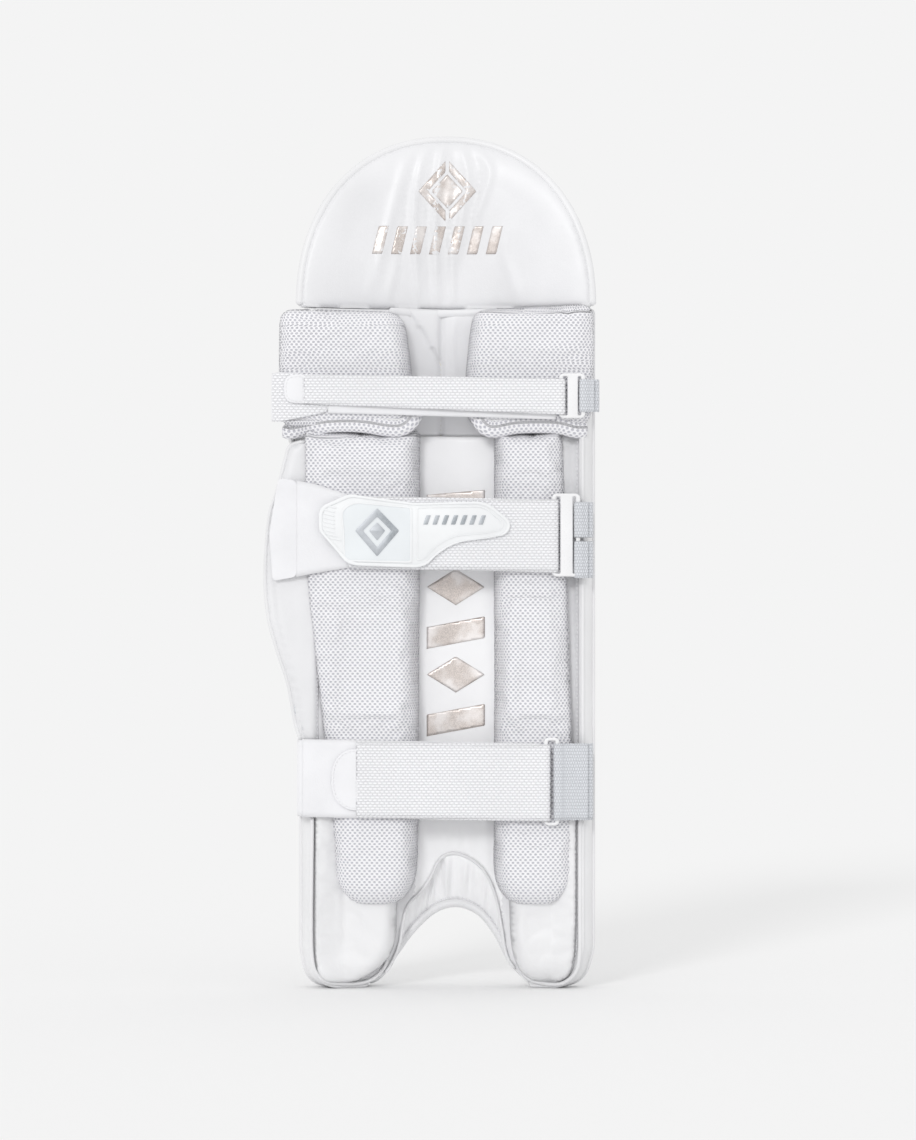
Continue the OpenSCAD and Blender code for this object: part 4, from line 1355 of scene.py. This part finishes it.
def mid_strap():
    """Wide middle strap, sewn to the calf wing, with its badge."""
    anchor = rounded([(-131.5, 334), (-134, 372), (-127, 418), (-112, 416), (-112, 337.5)], 4)
    obj = patch("mid_strap_anchor_patch", anchor, PLY_Y, PLY_T, BRUSHED, "webbing", 0.25)
    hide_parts("mid_strap_anchor")
    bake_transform(obj)
    base_ply("mid", -112.2, lambda x: np.interp(x, [-112, -93, -69, 100], [337.5, 341, 345, 341]),
             lambda x: np.interp(x, [-112, -96, -69, 0, 100], [416, 413, 404, 401, 400]), "mid_strap_base")
    return_ply("mid", -70, lambda x: 344.5 - (x + 70) * 0.02, lambda x: 403.5 - (x + 70) * 0.018,
               "mid_strap_return")
    hook = patch("mid_hook_patch_tape", rounded([(-68, 347), (-8, 347), (-8, 397), (-68, 397)], 4),
                 RETURN_Y + PLY_T + 0.05, 1.2, HOOK, "hook_tape", 0.3)
    lean(hook, "mid")
    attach(hook, "mid_flap")
    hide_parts("mid_hook_patch")
    ring("mid", (103.2, 113.4), "mid_strap_ring")
    webbing_loop("mid_webbing_loop_upper", "mid", 369.5, 398.5, 130.5, ELASTIC, "mid_strap_loop_upper")
    webbing_loop("mid_webbing_loop_lower", "mid", 336.5, 366.5, 130.5, ELASTIC, "mid_strap_loop_lower")
    badge()


def badge():
    """Moulded badge on the middle strap: rim, ribbed grip, square panel and slim tail, with plain marks."""
    outline = rounded([(-93.4, 375), (-93.4, 394, 7), (-69, 405), (-16, 397.6), (43, 399, 9), (63.5, 382, 6),
                       (60.3, 372, 6), (44.6, 368.6, 8), (19.8, 366, 12), (4, 357, 12), (-7.4, 344.6, 10),
                       (-70, 347, 8), (-80, 359.5, 6)], 4, 6)
    face = RETURN_Y - 3.4

    def part(name, loops, y, thickness, material, bevel=0.4):
        obj = plate(name, loops, y, thickness, bevel)
        lean(obj, "mid")
        finish_piece(obj, material, "mid_flap", "badge_rubber")
        return obj

    body = part("badge_body", [outline], face + 0.9, 2.45, RUBBER, 0.7)
    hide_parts("mid_strap_badge")
    part("badge_rim", [outline, shrunk(outline, 2.6)], face, 1.2, RUBBER, 0.45)
    panel_loop = rounded([(-73.5, 350), (-17.5, 348.5), (-17.5, 394.5), (-66, 399, 6), (-76, 392, 5),
                          (-74, 372)], 2.5)
    part("badge_panel_frame", [panel_loop, shrunk(panel_loop, 1.6)], face + 0.1, 1.0, RUBBER)
    part("badge_panel_floor", [shrunk(panel_loop, 1.5)], face + 0.6, 0.6, RUBBER_GREY, 0.15)
    tail = rounded([(-14, 394.5), (41, 395.5, 6), (57.5, 381.5, 4), (56, 376), (42, 372.8), (17, 371, 8),
                    (2, 363, 8), (-9, 350.5, 5), (-14, 350.5)], 2)
    part("badge_tail_frame", [tail, shrunk(tail, 1.3)], face + 0.3, 0.8, RUBBER)
    for i in range(9):
        z = 366.5 + 3.3 * i
        x = -90.0 + (max(0, 372 - z) * 0.9) + max(0, z - 392) * 1.2
        slant = [(x, z + 2.2), (x + 9.5, z), (x + 9.5, z + 1.4), (x, z + 3.6)]
        part(f"badge_grip_bar_{i + 1}", [rounded(slant, 0.4, 2)], face + 0.2, 0.9, RUBBER, 0.25)
    mark = [(-46, 393.5), (-28, 375), (-46, 354), (-64, 375)]
    hollow = [(-46, 386.5), (-34.5, 375), (-46, 361.5), (-57.5, 375)]
    part("badge_mark_diamond", [rounded(mark, 1.2, 2), rounded(hollow, 1.0, 2)],
         face + 0.15, 0.6, SILVER, 0.12)
    middle = [(-46, 382), (-39.5, 375), (-46, 367), (-52.5, 375)]
    part("badge_mark_core", [rounded(middle, 0.8, 2)], face + 0.15, 0.6, SILVER, 0.12)
    for i in range(7):
        x = -8.5 + 7.5 * i
        bar = [(x, 380), (x + 3.6, 380), (x + 6.2, 387.6), (x + 2.6, 387.6)]
        part(f"badge_mark_bar_{i + 1}", [rounded(bar, 0.5, 2)], face + 0.45, 0.55, SILVER, 0.1)


def bottom_strap():
    """Wide bottom strap: plies, wrap, tab, ring and loop."""
    base_ply("bottom", -107.5, lambda x: 141.5 - (x + 107) * 0.018, lambda x: 205.0 - (x + 107) * 0.018,
             "bottom_strap_base")
    ribbon("bottom_strap_anchor_wrap", [(-106.5, PLY_Y + 1.2), (-108.8, PLY_Y + 2.2), (-110.4, PLY_Y + 5),
                                        (-111.2, PLY_Y + 12), (-110.6, PLY_Y + 20)],
           level(142), level(204.5), 1.6, BRUSHED, "webbing", "shell", [], 1.5)
    return_ply("bottom", -63, lambda x: 141.0 - (x + 63) * 0.02, lambda x: 203.5 - (x + 63) * 0.018,
               "bottom_strap_return")
    a = np.radians(np.linspace(90, 270, 26))
    bulge = np.stack([-64 + 19.5 * np.cos(a), 172 + 25.0 * np.sign(np.sin(a)) * np.abs(np.sin(a)) ** 0.8], 1)
    tab = np.vstack([[(-61.5, 197)], bulge, [(-61.5, 147)]])
    obj = patch("bottom_hook_tab_tape", tab, RETURN_Y, PLY_T, HOOK, "hook_tape")
    lean(obj, "bottom")
    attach(obj, "bottom_flap")
    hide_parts("bottom_hook_tab")
    outline_stitches("bottom_hook_tab_stitches", tab, 1.8, RETURN_Y - 0.1, "bottom_flap", "bottom")
    ring("bottom", (), "bottom_strap_ring")
    webbing_loop("bottom_webbing_loop", "bottom", 139, 201.5, 130.5, ELASTIC, "bottom_strap_loop")


# --- printed marks ---------------------------------------------------------------------------------

def printed(name, outline, surface, material, lift=0.12, spacing=2.0):
    """A thin printed shape that lies on a finished surface."""
    obj = panel(name, outline, spacing,
                lambda x, z, d: np.array([drop(surface, a, b, lift) for a, b in zip(x, z)]),
                lambda x, z, d: np.array([drop(surface, a, b, -0.25) for a, b in zip(x, z)]), unroll=False)
    finish_piece(obj, material, "shell", "cover")


def marks(hat, lining):
    """Plain marks where the pad is printed: a diamond, a row of slanted bars and a tall column."""
    hat_tree, lining_tree = tree(hat), tree(lining)
    cx, cz = 11.0, 655.0
    half_w, half_h, gap, band = 24, 25, 1.5, 8
    for side, word in ((-1, "left"), (1, "right")):
        half = [(cx + side * gap, cz + half_h), (cx + side * half_w, cz), (cx + side * gap, cz - half_h),
                (cx + side * gap, cz - half_h + band + 1), (cx + side * (half_w - band), cz),
                (cx + side * gap, cz + half_h - band - 1)]
        printed(f"hat_mark_side_{word}", np.array(half, float), hat_tree, FOIL)
    half_w, half_h = 13, 14
    diamond = [(cx, cz + half_h), (cx + half_w, cz), (cx, cz - half_h), (cx - half_w, cz)]
    printed("hat_mark_core", np.array(diamond, float), hat_tree, FOIL)
    for i in range(7):
        x = -51 + 15.6 * i
        bar = [(x, 603), (x + 8.5, 603), (x + 14, 626), (x + 5.5, 626)]
        printed(f"hat_mark_bar_{i + 1}", np.array(bar, float), hat_tree, FOIL)
    for i in range(4):
        z = 206 + 36 * i
        if i % 2:
            shape = [(18, z), (42, z + 15), (18, z + 30), (-6, z + 15)]
        else:
            shape = [(-6, z), (42, z + 9), (42, z + 27), (-6, z + 18)]
        printed(f"channel_mark_{i + 1}", np.array(shape, float), lining_tree, FOIL)
    printed("channel_mark_5", np.array([(-6, 399), (42, 399), (42, 409), (-6, 405)], float), lining_tree,
            FOIL)


# --- studio -------------------------------------------------------------------------------------------

def studio():
    """Pale floor under an even white sky, a soft sun and a camera square on to the leg side."""
    scene = bpy.context.scene
    view_x, view_z, distance = 0.0198, 0.343, 4.0
    camera = bpy.data.cameras.new("camera")
    camera.lens = 155.2
    camera.sensor_width = 36
    rig = bpy.data.objects.new("camera", camera)
    rig.location = (view_x, cad_box[0][1] - distance, view_z)
    rig.rotation_euler = (math.pi / 2, 0, 0)
    scene.collection.objects.link(rig)
    scene.camera = rig

    half = 60000.0
    corners = [(-half, -half, 0), (half, -half, 0), (half, half, 0), (-half, half, 0)]
    floor = add("studio_floor", corners, [(0, 1, 2, 3)])
    suns = (("key", (-0.32, -1.0, 0.42), 0.80, 12), ("rear", (0.4, 0.9, 0.9), 0.10, 60))
    sky = 0.905
    overhead = sum(power * Vector(towards).normalized().z for _, towards, power, _ in suns)
    shade = sky / (sky + overhead / math.pi)
    paper = Shader("studio_paper", (shade, shade, shade), 1.0, Specular_IOR_Level=0.0)
    paper.bump((paper.noise(paper.object_place(), 400, 2), 0.02, 0.05))
    floor.data.materials.append(paper.material)

    world = bpy.data.worlds.new("studio_world")
    scene.world = world
    world.use_nodes = True
    world.node_tree.nodes["Background"].inputs["Color"].default_value = (1.0, 1.0, 1.0, 1)
    world.node_tree.nodes["Background"].inputs["Strength"].default_value = sky
    for name, towards, power, spread in suns:
        data = bpy.data.lights.new(name, "SUN")
        data.energy = power
        data.angle = math.radians(spread)
        light = bpy.data.objects.new(name, data)
        light.rotation_euler = Vector(towards).to_track_quat("Z", "Y").to_euler()
        scene.collection.objects.link(light)
    scene.view_settings.view_transform = "Standard"


# --- the pad -------------------------------------------------------------------------------------------

studio()
for number in range(1, 9):
    shin_rib(number)
for number, level_name in enumerate(("lower", "middle", "upper")):
    knee_roll(f"knee_roll_{level_name}", number)
hat_lining = top_hat_lining()
top_hat_face()
top_hat_binding()
hat_seam()
edge_walls()
channel_lining = inner_lining()
knee_lining()
instep()
shell_layers()
bolsters()
knee_cups()
cup_rims()
lobe_pads()
run_cloth()
calf_wing()
top_strap()
mid_strap()
bottom_strap()
marks(hat_lining, channel_lining)

rib_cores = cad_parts["rib_cores"]
rib_cores.data.materials.clear()
rib_cores.data.materials.append(FOAM)
